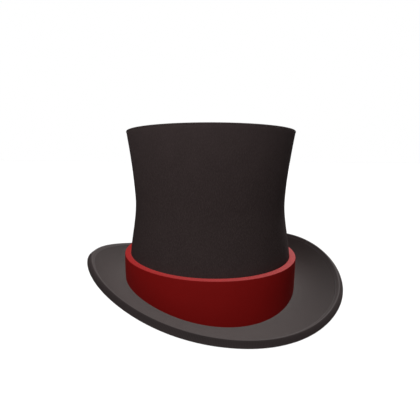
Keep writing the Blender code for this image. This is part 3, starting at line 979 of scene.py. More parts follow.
def tip_section():
    """The tip's top face from its middle out, the round corner, the edge, and back underneath."""
    low = CROWN_HEIGHT - EDGE_ROUND
    top = [(out, CROWN_HEIGHT) for out in evenly(0.0, TIP - EDGE_ROUND, 0.004)]
    turns = [math.pi / 2 * step / CORNER_STEPS for step in range(1, CORNER_STEPS)]
    corner = [
        (TIP - EDGE_ROUND + EDGE_ROUND * math.sin(turn), low + EDGE_ROUND * math.cos(turn))
        for turn in turns
    ]
    side = [(TIP, low), (TIP, TIP_FELT_LOW + TUCK)]
    under = [(out, TIP_FELT_LOW) for out in evenly(TIP - TUCK, 0.0, 0.012)]
    return top + corner + side + under


felt_tip = ring(
    "felt_tip", tip_section(), CROWN_FELT, "crown_felt", "tip_cover", closed=False, **CROWN_NUMBERS
)

# %% [markdown]
# ## Stitches
# A hat has hundreds of stitches, and each one is the same small thing on a line. So they are made
# by Geometry Nodes: the tree walks along a path at an even pitch, sets a short oval bead of thread
# on it, turns the bead to the path, and varies its length a little from a fixed seed.

# %% Geometry Nodes: a row of stitches


def build_stitch_tree():
    tree = bpy.data.node_groups.new("row of stitches", "GeometryNodeTree")
    start, end = add_sockets(
        tree,
        {
            "Geometry": ("Geometry", None),
            "Pitch": ("Float", 0.004),
            "Length": ("Float", 0.0026),
            "Thread": ("Float", 0.0005),
            "Lean": ("Float", 0.0),
            "Unevenness": ("Float", 0.1),
            "Seed": ("Int", 1),
            "Finish": ("Material", None),
        },
        {"Geometry": "Geometry"},
    )
    path = add_node(tree, "GeometryNodeMeshToCurve", {0: start["Geometry"]})
    spaced = add_node(tree, "GeometryNodeResampleCurve", {"Curve": path.outputs[0]}, mode="LENGTH")
    tree.links.new(start["Pitch"], spaced.inputs["Length"])
    bead = add_node(tree, "GeometryNodeMeshUVSphere", {"Segments": 6, "Rings": 4, "Radius": 0.5})
    smooth = add_node(tree, "GeometryNodeSetShadeSmooth", {"Geometry": bead.outputs["Mesh"]})
    tangent = tree.nodes.new("GeometryNodeInputTangent").outputs[0]
    turn = add_node(tree, "FunctionNodeAlignRotationToVector", {"Vector": tangent}, axis="X")
    lean = add_node(tree, "ShaderNodeCombineXYZ", {1: start["Lean"]}).outputs[0]
    spin = add_node(tree, "FunctionNodeEulerToRotation", {0: lean}).outputs[0]
    leaning = {"Rotation": turn.outputs[0], "Rotate By": spin}
    leant = add_node(tree, "FunctionNodeRotateRotation", leaning, rotation_space="LOCAL")
    vary = add_node(tree, "FunctionNodeRandomValue", {"Seed": start["Seed"]}, data_type="FLOAT")
    tree.links.new(calc(tree, "SUBTRACT", 1.0, start["Unevenness"]), vary.inputs[2])
    tree.links.new(calc(tree, "ADD", 1.0, start["Unevenness"]), vary.inputs[3])
    long = calc(tree, "MULTIPLY", vary.outputs[1], start["Length"])
    size = add_node(tree, "ShaderNodeCombineXYZ", {0: long, 1: start["Thread"], 2: start["Thread"]})
    row = add_node(
        tree,
        "GeometryNodeInstanceOnPoints",
        {
            "Points": spaced.outputs[0],
            "Instance": smooth.outputs[0],
            "Rotation": leant.outputs[0],
            "Scale": size.outputs[0],
        },
    )
    real = add_node(tree, "GeometryNodeRealizeInstances", {"Geometry": row.outputs[0]})
    dress = {"Geometry": real.outputs[0], "Material": start["Finish"]}
    tree.links.new(add_node(tree, "GeometryNodeSetMaterial", dress).outputs[0], end["Geometry"])
    return tree


STITCH = build_stitch_tree()
print("row of stitches:", len(STITCH.nodes), "nodes")

# %% Paths for the stitches


def path_mesh(name, corners, closed=True):
    edges = [(index, index + 1) for index in range(len(corners) - 1)]
    if closed:
        edges.append((len(corners) - 1, 0))
    mesh = bpy.data.meshes.new(name)
    mesh.from_pydata([tuple(corner) for corner in corners], edges, [])
    return mesh


def ring_path(name, radius, height):
    turns = [2 * math.pi * step / AROUND for step in range(AROUND)]
    return path_mesh(name, [(radius * math.cos(t), radius * math.sin(t), height) for t in turns])


# %% Sewing a row


def sewn(row, slot, finish, pitch, length, thickness, seed, lean=0.0):
    """Turns a path into a row of stitches. lean tips each stitch off the path, in degrees."""
    values = {"Pitch": pitch, "Length": length, "Thread": thickness, "Seed": seed}
    run_tree(row, STITCH, {**values, "Lean": math.radians(lean), "Finish": finish})
    hand_over(row, slot)
    return row


def sewn_on_crown(path, slot, finish, *measures):
    """A row whose path is drawn on the round blank, and pressed with the crown."""
    return sewn(pressed(path.name, path, None), slot, finish, *measures)


# %% The tip's seam
TIP_SEAM_IN = 0.0026  # from the tip's edge
SUNK = 0.00008
tip_path = ring_path("tip_stitches", TIP - TIP_SEAM_IN, CROWN_HEIGHT - SUNK)
tip_stitches = sewn_on_crown(tip_path, "crown_felt", BLACK_THREAD, 0.0042, 0.0026, 0.0004, 3)

# %% [markdown]
# ## The lining
# Inside the crown hangs a tube of satin, a little too wide for it. The slack is gathered towards
# the tip in soft folds, which are deep at the top and fade out above the sweatband. The tip's own
# satin disc is gathered round its edge, and a covered cord hides the seam between them.

# %% Satin side
PIPING = 0.0020
FOLDS = 46
FOLD_COLUMNS = 8  # of the mesh, in each fold
FOLD_DEPTH = 0.0016
FOLDS_FROM = 0.045
FOLD_WANDER = 0.01  # radians either way round the hat
WANDER_RATE = 90  # radians to the metre of height
LINING_FOOT = 0.008
PIPING_HEIGHT = TIP_SATIN[1] - FIT_GAP - PIPING / 2
PIPING_RADIUS = waisted(PIPING_HEIGHT) - (FOOT - SATIN_OUT) - PIPING / 2
SATIN_TOP = PIPING_HEIGHT - PIPING / 2 - FIT_GAP


def fold(angle):
    """A fold's depth round the hat, from 0 to 1, uneven as gathered cloth is."""
    drift = 0.6 * np.sin(3 * angle + 0.7) + 0.4 * np.sin(5 * angle + 2.1)
    return 0.5 - 0.5 * np.cos(FOLDS * angle + 2.2 * drift)


def gather_side(radius, angle, height):
    """Folds that start over the sweatband, deepen towards the tip and wander a little."""
    share = np.clip((height - FOLDS_FROM) / (SATIN_TOP - FOLDS_FROM), 0, 1)
    wander = angle + FOLD_WANDER * np.sin(WANDER_RATE * height + 4 * angle)
    return radius - FOLD_DEPTH * share**1.3 * fold(wander), angle, height


satin_wall = rounded(crown_wall(LINING_FOOT, SATIN_TOP, SATIN_OUT, SATIN, 0.005), 0.0002, 2)
folded = {"around": FOLDS * FOLD_COLUMNS, "change": gather_side}
satin_side = ring("satin_side", satin_wall, SATIN_RED, "satin", "side_lining", **folded)

# %% Satin tip
GATHER_REACH = 0.030
GATHER_DEPTH = 0.0009
FLAT_EDGE = 0.004  # lies flat under the cord
SATIN_TIP_RADIUS = waisted(TIP_SATIN[1]) - (FOOT - SHELL_OUT) - GOSS - FIT_GAP


def gather_tip(radius, angle, height):
    """Folds that deepen towards the disc's edge and stop short of it."""
    share = np.clip((radius - SATIN_TIP_RADIUS + FLAT_EDGE + GATHER_REACH) / GATHER_REACH, 0, 1)
    inside = radius < SATIN_TIP_RADIUS - FLAT_EDGE
    return radius, angle, height - GATHER_DEPTH * share**2 * fold(angle) * inside


def cut_flat(mesh):
    """A disc is cut from flat cloth, so its threads run straight across it and not round it."""
    uv = mesh.uv_layers["cut"].data
    for loop in mesh.loops:
        place = mesh.vertices[loop.vertex_index].co
        uv[loop.index].uv = (place.x, place.y)
    return mesh


tip_disc = disc(SATIN_TIP_RADIUS, *TIP_SATIN, 0.003)
tip_mesh = turned("satin_tip", tip_disc, FOLDS * FOLD_COLUMNS, closed=False, change=gather_tip)
tip_satin = pressed("satin_tip", cut_flat(tip_mesh), SATIN_RED)
hand_over(tip_satin, "satin", "tip_lining")

# %% Covered cord
PIPING_WRAPS = 114
WRAP_PINCH = 0.06


def round_section(radius, height, diameter, sides=10):
    turns = [math.pi / 2 - 2 * math.pi * (side + 0.5) / sides for side in range(sides)]
    return [(radius + diameter / 2 * math.cos(t), height + diameter / 2 * math.sin(t)) for t in turns]


def wrap_cord(radius, angle, height):
    """Slanting creases where the bias strip wraps the cord."""
    out, up = radius - PIPING_RADIUS, height - PIPING_HEIGHT
    side = np.arctan2(up, out)
    pinch = 1.0 - WRAP_PINCH * (0.5 + 0.5 * np.sin(PIPING_WRAPS * angle + side))
    return PIPING_RADIUS + out * pinch, angle, PIPING_HEIGHT + up * pinch


cord = round_section(PIPING_RADIUS, PIPING_HEIGHT, PIPING)
wrapped = {"around": PIPING_WRAPS * 6, "change": wrap_cord}
ring("satin_piping", cord, SATIN_RED, "satin", "lining_piping", **wrapped)

# %% [markdown]
# ## The brim's surface
# The brim starts as a flat oval washer. Next to the crown it stays flat, as a ledge for the band.
# Beyond that it curls up to the rim, far at the sides and little at the front and back. Its layers
# lie at fixed lifts from that surface, measured square to it, so the form is a function of where a
# corner was on the washer. It looks up the rim's outline, so it is plain code and not a node tree.

# %% The brim's form
FORM_STEP = 1e-4
HAND_WAVE = 0.0005


def seat_height(angle):
    return SEAT_Z + SEAT_SADDLE * np.cos(2 * angle)


def rim_height(angle):
    wave = HAND_WAVE * (np.sin(3 * angle + 0.9) + 0.7 * np.sin(5 * angle + 2.4))
    return SEAT_Z + RIM_RISE + RIM_SADDLE * np.cos(2 * angle) + wave


def rim_radius(bearing):
    """Distance from the crown's axis to the edge of the brim's layers."""
    half_width = FOOT + BRIM_SIDE
    half_length = FOOT * OVAL + np.where(np.sin(bearing) > 0, BRIM_BACK, BRIM_FRONT)
    across = np.abs(np.cos(bearing) / half_width) ** CORNER_POWER
    along = np.abs(np.sin(bearing) / half_length) ** CORNER_POWER
    off_front = np.arccos(np.clip(-np.sin(bearing), -1, 1))
    point = FRONT_POINT * np.exp(-((off_front / FRONT_POINT_ANGLE) ** 2))
    return (across + along) ** (-1 / CORNER_POWER) + point


def brim_surface(radius, angle):
    """Top face of the brim, from the flat washer's radius and angle."""
    ledge = np.minimum(radius, FOOT + LEDGE)
    x, y, z = ledge * np.cos(angle), ledge * OVAL * np.sin(angle), seat_height(angle)
    share = np.clip((radius - FOOT - LEDGE) / (BLANK - LEDGE), 0, None)
    bearing = np.arctan2(y, x)
    reach = np.hypot(x, y)
    reach = reach + share * (rim_radius(bearing) - reach)
    rise = (rim_height(angle) - seat_height(angle)) * share**CURL_POWER
    return np.stack([reach * np.cos(bearing), reach * np.sin(bearing), z + rise], -1)


def brim_form(radius, angle, lift):
    """The place at this lift over the brim's top face, measured square to it."""
    out = brim_surface(radius + FORM_STEP, angle) - brim_surface(radius - FORM_STEP, angle)
    turn = FORM_STEP / radius
    along = brim_surface(radius, angle + turn) - brim_surface(radius, angle - turn)
    square = np.cross(out, along)
    square /= np.linalg.norm(square, axis=-1, keepdims=True)
    return brim_surface(radius, angle) + lift[..., None] * square + np.array([0, AXIS_Y, 0])


# %% Layers of the brim
CURL_SPACING = 0.0022
LEDGE_SPACING = 0.003


def brim_layer(inner, outer, top, bottom):
    """Section of a layer on the flat washer, with a row at the ledge's edge."""
    ledge = FOOT + LEDGE
    reaches = evenly(inner, ledge, LEDGE_SPACING) if inner < ledge else [inner]
    reaches += evenly(max(inner, ledge), outer, CURL_SPACING)[1:]
    return [(out, top) for out in reaches] + [(out, bottom) for out in reversed(reaches)]


def curled(name, section, finish, slot, node, around=AROUND, shade_by_angle=None, **numbers):
    """Turns a section as a flat washer, shapes it as the brim and hands it over. A function of the
    angle round the hat may scale the mesh's number for painted shade."""
    mesh = turned(name, section, around, **numbers)
    blank = np.array([vertex.co for vertex in mesh.vertices])
    angle = np.arctan2(blank[:, 1], blank[:, 0])
    shaped = brim_form(np.hypot(blank[:, 0], blank[:, 1]), angle, blank[:, 2])
    if shade_by_angle:
        painted_shading = mesh.attributes["painted_shading"].data
        for entry, scale in zip(painted_shading, shade_by_angle(angle)):
            entry.value *= scale
    mesh.vertices.foreach_set("co", shaped.astype(np.float32).ravel())
    mesh.update()
    mesh.materials.append(finish)
    piece = put(name, mesh)
    hand_over(piece, slot, node)
    return piece


BRIM_IN = LEATHER_OUT + REED + 2 * FIT_GAP
FLANGE_RISE = 0.0140
FLANGE_FOOT = 0.0050
FLANGE_END = FOOT + FLANGE_FOOT
WIRE = 0.0018
BINDING = 0.0008
BINDING_ON_TOP = 0.0025
BINDING_UNDER = 0.0045
curl = rim_height(0.0) - seat_height(0.0)
print(f"the brim's sides curl up by {curl * 1000:.1f} mm")

# %% Felt, board and wire
RIM_RUB_REACH = 0.006
RIM_RUB = 0.5
BRIM_SHADE_FROM = BAND_OUT + 0.001
FRONT_SHADE_SHARE = 0.45  # of the painted shade at the sides, left at the front and back


def near_rim(radius, lift):
    return RIM_RUB * fading(abs(BRIM_OUT - radius), RIM_RUB_REACH)


def painted_shade_from_band(radius, lift):
    """Painted shade on the brim: 0 beside the band, rising fast at first, and about 1 at the rim."""
    return clamped((radius - BRIM_SHADE_FROM) / (BRIM_OUT - BAND_OUT)) ** 0.6


def painted_shade_at_sides(angle):
    """The painted shade is full at the brim's sides, and less at the front and back."""
    return FRONT_SHADE_SHARE + (1 - FRONT_SHADE_SHARE) * np.abs(np.cos(angle)) ** 1.5


top_section = rounded(brim_layer(FLANGE_END + FIT_GAP, BRIM_OUT, *BRIM_LAYERS["top"]), 0.0003, 2)
# Painted shade on the brim's felt: darker from the band out to the rim, most at the sides.
brim_rub_and_shade = {"shade_by_angle": painted_shade_at_sides, "rub": near_rim, "painted_shading": painted_shade_from_band}
brim_top = curled(
    "felt_brim_top", top_section, BRIM_FELT_PAINTED_LIGHTER, "brim_felt", "brim_top_cover", **brim_rub_and_shade
)
board_section = brim_layer(BRIM_IN, BRIM_OUT - WIRE - 3 * FIT_GAP, *BRIM_LAYERS["board"])
board = curled("goss_brim", board_section, GOSS_CLOTH, "goss", "brim_board", AROUND_HIDDEN)
under_section = rounded(brim_layer(BRIM_IN, BRIM_OUT, *BRIM_LAYERS["under"]), 0.0003, 2)
brim_under = curled(
    "felt_brim_under", under_section, UNDER_FELT, "under_felt", "brim_under_cover", rub=near_rim
)
wire_middle = (BRIM_OUT - WIRE / 2 - FIT_GAP, sum(BRIM_LAYERS["board"]) / 2)
curled("rim_wire", round_section(*wire_middle, WIRE, 8), STEEL, "wire", "brim_wire")

# %% Flange
flange_corners = [
    (FLANGE_OUT, FLANGE_RISE),
    (FLANGE_OUT, 0.0),
    (FLANGE_END, 0.0),
    (FLANGE_END, -FLANGE),
    (FLANGE_OUT - FLANGE, -FLANGE),
    (FLANGE_OUT - FLANGE, FLANGE_RISE),
]
flange_section = rounded(flange_corners, 0.0003, 2)
ring("goss_flange", flange_section, GOSS_CLOTH, "goss", "brim_flange", **HIDDEN)

# %% [markdown]
# ## The binding
# A ribbon is folded over the rim and sewn through all the layers. The fold at the rim is the part
# that rubs first. Its upper side and the top of the fold are also painted lighter: painted light,
# where they face the light from above.

# %% Binding ribbon
PRESSED = 0.00024  # the ribbon's edges are pressed down on the felt
TOUCH = 0.00003
RIM_ROUND = 0.0006
RIM_FULLNESS = 0.0001
RIM_STEPS = 5
TOP_LIFT = 0.0005  # the upper leg lies almost flat
UNDER_EASE = 0.0016  # the lower leg is at its full lift this far from its edge
FOLD_RUB_AND_LIGHT = 0.0014


def over_rim(top, bottom, face):
    """The ribbon's outside where it turns over the rim: two round corners and a slightly full face."""
    turns = [math.pi / 2 * step / RIM_STEPS for step in range(RIM_STEPS + 1)]
    arc = [(RIM_ROUND * (1 - math.sin(t)), RIM_ROUND * (1 - math.cos(t))) for t in turns]
    high, low = top - RIM_ROUND, bottom + RIM_ROUND
    line = [(face - far, top - near) for far, near in arc]
    for share in (0.25, 0.5, 0.75):
        line.append((face + RIM_FULLNESS * math.sin(math.pi * share), high + (low - high) * share))
    return line + [(face - near, bottom + far) for far, near in arc]


def binding_section():
    """The folded ribbon: upper leg, rim and lower leg outside, and back along its inside."""
    room, face = BRIM_OUT + FIT_GAP, BRIM_OUT + FIT_GAP + BINDING
    top_edge, under_edge = BRIM_OUT - BINDING_ON_TOP, BRIM_OUT - BINDING_UNDER
    bottom = BRIM_BOTTOM - FIT_GAP - BINDING
    turned_over = over_rim(TOP_LIFT, bottom, face)
    outside = []
    for out in evenly(top_edge, turned_over[0][0], 0.0003)[:-1]:
        share = (out - top_edge) / (turned_over[0][0] - top_edge)
        outside.append((out, PRESSED + (TOP_LIFT - PRESSED) * math.sin(math.pi / 2 * share)))
    outside += turned_over
    for out in evenly(turned_over[-1][0], under_edge, 0.0004)[1:]:
        share = clamped((out - under_edge) / UNDER_EASE)
        lift = PRESSED + (BRIM_BOTTOM - bottom - PRESSED) * math.sin(math.pi / 2 * share)
        outside.append((out, BRIM_BOTTOM - lift))
    inside = [
        (under_edge, BRIM_BOTTOM - TOUCH),
        (under_edge + UNDER_EASE, BRIM_BOTTOM - FIT_GAP),
        (room, BRIM_BOTTOM - FIT_GAP),
        (room, TOUCH),
        (top_edge, TOUCH),
    ]
    return outside + inside


def rubbed_and_lit_binding_top(radius, lift):
    """Rub and painted light on the binding's upper side, gone where it turns down over the rim."""
    return clamped((lift + RIM_ROUND) / FOLD_RUB_AND_LIGHT)


binding = curled(
    "binding_ribbon",
    binding_section(),
    BINDING_RIBBON,
    "binding",
    "brim_binding",
    around=2 * AROUND,
    rub=rubbed_and_lit_binding_top,
)

# %% Binding stitches
STITCH_PITCH = 0.0046
STITCH_ROWS = (
    # name, radius on the flat washer, lift, seed
    ("top", BRIM_OUT - BINDING_ON_TOP + 0.0006, 0.00034, 5),
    ("under", BRIM_OUT - BINDING_UNDER + 0.0009, BRIM_BOTTOM - 0.00085, 8),
)


def brim_path(radius, lift):
    """A line right round the brim."""
    turns = np.arange(AROUND) * 2 * math.pi / AROUND
    return brim_form(np.full(AROUND, radius), turns, np.full(AROUND, lift))


for name, radius, lift, seed in STITCH_ROWS:
    row_name = f"binding_stitches_{name}"
    row = put(row_name, path_mesh(row_name, brim_path(radius, lift)))
    sewn(row, "binding", BLACK_THREAD, STITCH_PITCH, 0.0029, 0.0004, seed)

# %% [markdown]
# ## The hatband
# The red band is a wide ribbon folded round a strip of wadding, which makes it stand out from the
# crown with a flat top edge. It is drawn tight, so its face swells only a little. A tab of the same
# ribbon hides the join on the wearer's left.

# %% Wadding
BAND_LIFT = 0.0001  # the ribbon rests on the felt
RIBBON = 0.0008
RIBBON_TURN = 0.008
HUG = 0.00002  # the ribbon's turned edges lie close on the felt
BAND_IN = FOOT + FIT_GAP
WALL = RIBBON + FIT_GAP
wadding_corners = [
    (BAND_OUT - WALL, BAND_HEIGHT - WALL),
    (BAND_OUT - WALL, BAND_LIFT + WALL),
    (BAND_IN + WALL, BAND_LIFT + WALL),
    (BAND_IN + WALL, BAND_HEIGHT - WALL),
]
wadding_section = rounded(wadding_corners, 0.0015)
wadding = ring("wadding_band", wadding_section, WADDING, "padding", "hatband_core", **HIDDEN)

# %% Ribbon
BAND_SWELL = 0.0003
BAND_CORNER = 0.0005
BAND_TOP_RUB_AND_LIGHT_REACH = 0.012
BAND_TOP_RUB_AND_LIGHT_LEAST = 0.6  # of the rub and painted light at the crown, against 1 at the outer edge


def band_section():
    """The folded ribbon: its outside, then its inside, with both ends turned in at the crown."""
    face = []
    for height in evenly(BAND_HEIGHT - BAND_CORNER, BAND_LIFT + BAND_CORNER, 0.0035):
        share = (height - BAND_LIFT) / (BAND_HEIGHT - BAND_LIFT)
        face.append((BAND_OUT - BAND_SWELL + BAND_SWELL * math.sin(math.pi * share) ** 0.5, height))
    edge, inside, back = BAND_OUT - BAND_SWELL, BAND_OUT - RIBBON - BAND_SWELL, BAND_IN + RIBBON
    top = [(out, BAND_HEIGHT) for out in evenly(waisted(BAND_HEIGHT) + HUG, edge, 0.0016)]
    foot = [(edge, BAND_LIFT), (BAND_IN, BAND_LIFT)]
    inner = [
        (BAND_IN, BAND_LIFT + RIBBON_TURN),
        (back, BAND_LIFT + RIBBON_TURN),
        (back, BAND_LIFT + RIBBON),
        (inside, BAND_LIFT + RIBBON),
        (inside, BAND_HEIGHT - RIBBON),
        (back, BAND_HEIGHT - RIBBON),
        (back, BAND_HEIGHT - RIBBON_TURN),
        (BAND_IN, BAND_HEIGHT - RIBBON_TURN),
        (waisted(BAND_HEIGHT - RIBBON_TURN / 2) + HUG, BAND_HEIGHT - RIBBON_TURN / 2),
    ]
    return top + face + foot + inner


def rubbed_and_lit_band_top(radius, height):
    """Rub and painted light on the band's flat top, which faces the light: most at its outer edge, and
    none on its face.
    """
    outside = fading(BAND_OUT - radius, BAND_TOP_RUB_AND_LIGHT_REACH)
    top = fading(BAND_HEIGHT - height, BAND_CORNER)
    return top * (BAND_TOP_RUB_AND_LIGHT_LEAST + (1 - BAND_TOP_RUB_AND_LIGHT_LEAST) * outside)


ribbon_section = rounded(band_section(), BAND_CORNER)
band = ring(
    "red_ribbon", ribbon_section, BAND_RIBBON, "band", "hatband_ribbon", rub=rubbed_and_lit_band_top
)

# %% [markdown]
# ## Tab
# The tab is a short length of ribbon laid flat over the join. It is drawn in a little at the
# band's two edges, and a short row of stitches holds each of its sides. It is a grid bent round
# the band, given thickness.

# %% Strips bent round the crown


def sheet_mesh(name, corners, cut, in_row, over=False):
    """An open sheet from rows of corners, and their places on the flat cloth. over turns its outer
    side to the other face."""
    steps = (0, in_row, in_row + 1, 1) if over else (0, 1, in_row + 1, in_row)
    faces = [
        [row * in_row + column + step for step in steps]
        for row in range(len(corners) // in_row - 1)
        for column in range(in_row - 1)
    ]
    mesh = bpy.data.meshes.new(name)
    mesh.from_pydata(corners, [], faces)
    uv = mesh.uv_layers.new(name="cut")
    for loop in mesh.loops:
        uv.data[loop.index].uv = cut[loop.vertex_index]
    mesh.shade_smooth()
    return mesh


def bent_strip(name, width, low, high, face, middle, columns, rows, swell=None):
    """An open strip on a round blank. face is its radius, and swell adds to it."""
    corners, cut = [], []
    for row in range(rows + 1):
        for column in range(columns + 1):
            across, up = column / columns, row / rows
            out = face + (swell(across, up) if swell else 0.0)
            height = low + (high - low) * up
            angle = middle + width * (across - 0.5) / face
            corners.append((out * math.cos(angle), out * math.sin(angle), height))
            cut.append((width * across, height))
    return sheet_mesh(name, corners, cut, columns + 1)


def thickened(piece, thickness, bevel=0.0):
    """Gives an open strip its thickness outwards, with softened edges, and keeps the plain mesh."""
    solid = piece.modifiers.new("thickness", "SOLIDIFY")
    solid.thickness = thickness
    solid.offset = 1.0
    if bevel:
        soft = piece.modifiers.new("soft edges", "BEVEL")
        soft.width = bevel
        soft.segments = 2
    graph = bpy.context.evaluated_depsgraph_get()
    mesh = bpy.data.meshes.new_from_object(piece.evaluated_get(graph))
    piece.modifiers.clear()
    piece.data = mesh
    return piece


# %% The tab
TAB_WIDTH = 0.022
TAB = 0.0010
TAB_SHEET = 0.8 * TAB
TAB_DOME = 0.0004
TAB_TUCK = 0.00015
TAB_ANGLE = math.radians(15)
TAB_FACE = BAND_OUT + FIT_GAP


def tab_swell(across, up):
    """Slightly domed, and drawn in at its ends."""
    dome = TAB_DOME * math.sin(math.pi * across) ** 0.5
    return dome - TAB_TUCK * (1 - math.sin(math.pi * up) ** 0.4)


tab_mesh = bent_strip(
    "tab", TAB_WIDTH, BAND_LIFT, BAND_HEIGHT, TAB_FACE, TAB_ANGLE, 24, 30, tab_swell
)
tab = thickened(pressed("red_tab", tab_mesh, BAND_RIBBON), TAB_SHEET, 0.00025)
hand_over(tab, "band", "hatband_tab")

# %% Stitches beside the tab's edges
TACKS_IN = 0.0018
TACKS_CLEAR = 0.003
PATH_SPACING = 0.002


def upright_path(name, angle, places):
    """A path on the round blank through (radius, height) places, all at one angle."""
    corners = [(out * math.cos(angle), out * math.sin(angle), height) for out, height in places]
    return path_mesh(name, corners, closed=False)


for name, side in (("front", -1), ("back", 1)):
    face = TAB_FACE + TAB
    heights = evenly(BAND_LIFT + TACKS_CLEAR, BAND_HEIGHT - TACKS_CLEAR, PATH_SPACING)
    angle = TAB_ANGLE + side * (TAB_WIDTH / 2 - TACKS_IN) / face
    path = upright_path(f"tab_stitches_{name}", angle, [(face, height) for height in heights])
    sewn_on_crown(path, "band", RED_THREAD, 0.0036, 0.0021, 0.0005, 11)

# %% [markdown]
# ## The sweatband
# A strip of thin leather turns up inside the crown from the brim. It leans with the crown, and two
# lines are pressed near its free edge. Its foot is sewn to the brim through a thin covered reed,
# and its ends meet at the back, behind a small flat bow.

# %% Leather
LEATHER_HEIGHT = 0.042
LEATHER_LOW = BRIM_BOTTOM + FIT_GAP
PRESSED_LINES = (LEATHER_HEIGHT - 0.0035, LEATHER_HEIGHT - 0.0050)
LINE_DEPTH = 0.00022
LINE_REACH = 0.0007
LEATHER_RUB_REACH = 0.0018
LEATHER_RUB = 0.8


def crown_slack(height):
    """How far the crown draws in at this height, which its lining and leather follow."""
    return FOOT - waisted(height)


def leather_face(height):
    """Radius of the leather's inner face, with its pressed lines."""
    groove = max(fading(abs(height - line), LINE_REACH) for line in PRESSED_LINES)
    return HEAD + LINE_DEPTH * groove - crown_slack(height)


def leather_section():
    low_first = reversed(evenly(LEATHER_HEIGHT, LEATHER_LOW, LINE_REACH))
    inner = [(leather_face(height), height) for height in low_first]
    high_first = evenly(LEATHER_HEIGHT, LEATHER_LOW, 0.004)
    outer = [(LEATHER_OUT - crown_slack(height), height) for height in high_first]
    return outer + inner


def near_leather_edge(radius, height):
    return LEATHER_RUB * fading(LEATHER_HEIGHT - height, LEATHER_RUB_REACH)


strip = rounded(leather_section(), 0.0004, 2)
sweatband = ring(
    "tan_sweatband", strip, TAN_LEATHER, "leather", "sweatband", rub=near_leather_edge
)

# %% Reed
REED_RADIUS = LEATHER_OUT + FIT_GAP + REED / 2
REED_HEIGHT = -FLANGE - FIT_GAP - REED / 2
reed_section = round_section(REED_RADIUS, REED_HEIGHT, REED, 12)
ring("covered_reed", reed_section, BLACK_RIBBON, "reed", "sweatband_reed")

# %% Stitches in the leather: its join at the back, and its foot
BACK = math.pi / 2
IN_LEATHER = 0.00005  # the stitches sink in this far
JOIN_ENDS = (LEATHER_LOW + 0.0050, LEATHER_HEIGHT - 0.0020)
FOOT_ROW = LEATHER_LOW + 0.0028
join_heights = evenly(*JOIN_ENDS, PATH_SPACING)
join_places = [(HEAD - IN_LEATHER - crown_slack(height), height) for height in join_heights]
join_path = upright_path("leather_join", BACK, join_places)
leather_join = sewn_on_crown(join_path, "leather", TAN_THREAD, 0.0022, 0.0030, 0.00045, 23, 62)
foot_path = ring_path("sweatband_stitches", HEAD - IN_LEATHER, FOOT_ROW)
foot_stitches = sewn_on_crown(foot_path, "leather", TAN_THREAD, 0.0040, 0.0026, 0.0005, 21)

# %% [markdown]
# ## Bow and ticket
# The bow is one ribbon: two flat loops and a knot round their middle. Each loop runs out on one
# side, turns, and comes back, and it is pinched where the knot holds it. The ticket is a blank
# card that curves with the leather.

# %% The bow
BOW_LENGTH = 0.018
BOW_HEIGHT = 0.008
BOW_KNOT = 0.0030
BOW_RIBBON = 0.00022
PINCHED = 0.8 * BOW_KNOT  # height of the loops at the knot
LOOP_BULGE = 0.00085
LOOP_STEPS = 24
KNOT_WIDE, KNOT_DEEP = 0.0021, 0.0013  # half its size
KNOT_STEPS = 16
KNOT_HEIGHT = 1.3 * BOW_KNOT
ACROSS_RIBBON = 6  # faces across the ribbon


def ribbon_strip(name, line, widths):
    """A ribbon along a line of (across, out) points, upright, with its width at each point."""
    corners, cut = [], []
    for (across, out), width, along in zip(line, widths, outline_length(line)):
        for row in range(ACROSS_RIBBON + 1):
            up = width * (row / ACROSS_RIBBON - 0.5)
            corners.append((across, out, up))
            cut.append((along, up))
    return sheet_mesh(name, corners, cut, ACROSS_RIBBON + 1, over=True)


def loop_line(side):
    """One loop of the bow, from the knot out to its end and back."""
    line, widths = [], []
    for step in range(LOOP_STEPS + 1):
        turn = 2 * math.pi * step / LOOP_STEPS
        share = 0.5 - 0.5 * math.cos(turn)
        bulge = LOOP_BULGE * math.sin(turn) * (0.4 + 0.6 * share)
        line.append((side * BOW_LENGTH / 2 * share, bulge))
        widths.append(PINCHED + (BOW_HEIGHT - PINCHED) * min(1.0, share * 1.5) ** 0.7)
    return line, widths


def knot_line():
    turns = [2 * math.pi * step / KNOT_STEPS for step in range(KNOT_STEPS + 1)]
    line = [(KNOT_WIDE * math.sin(turn), KNOT_DEEP * math.cos(turn)) for turn in turns]
    return line, [KNOT_HEIGHT] * len(line)


def make_bow():
    shape = bmesh.new()
    lines = {"bow_left": loop_line(-1), "bow_right": loop_line(1), "bow_knot": knot_line()}
    for name, (line, widths) in lines.items():
        part = thickened(put(name, ribbon_strip(name, line, widths)), BOW_RIBBON)
        shape.from_mesh(part.data)
        bpy.data.objects.remove(part)
    bmesh.ops.recalc_face_normals(shape, faces=shape.faces)
    mesh = bpy.data.meshes.new("ribbon_bow")
    shape.to_mesh(mesh)
    shape.free()
    low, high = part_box("sweatband_bow")
    mesh.transform(Matrix.Translation((low + high) / 2))
    mesh.materials.append(BLACK_RIBBON)
    mesh.shade_smooth()
    return put("ribbon_bow", mesh)


hand_over(make_bow(), "reed", "sweatband_bow")

# %% The ticket
TICKET_WIDTH = 0.016
TICKET_HEIGHT = 0.012
TICKET = 0.0004
TICKET_MIDDLE = 0.024
TICKET_ANGLE = math.radians(66)
FLAT_TURN = math.pi / 38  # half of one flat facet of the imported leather, which the card clears
TICKET_FACE = HEAD * math.cos(FLAT_TURN) - FIT_GAP - TICKET
ticket_low = TICKET_MIDDLE - TICKET_HEIGHT / 2
ticket_high = TICKET_MIDDLE + TICKET_HEIGHT / 2
ticket_mesh = bent_strip(
    "ticket", TICKET_WIDTH, ticket_low, ticket_high, TICKET_FACE, TICKET_ANGLE, 12, 6
)
ticket = thickened(pressed("blank_ticket", ticket_mesh, TICKET_CARD), TICKET, 0.0001)
hand_over(ticket, "card", "size_ticket")

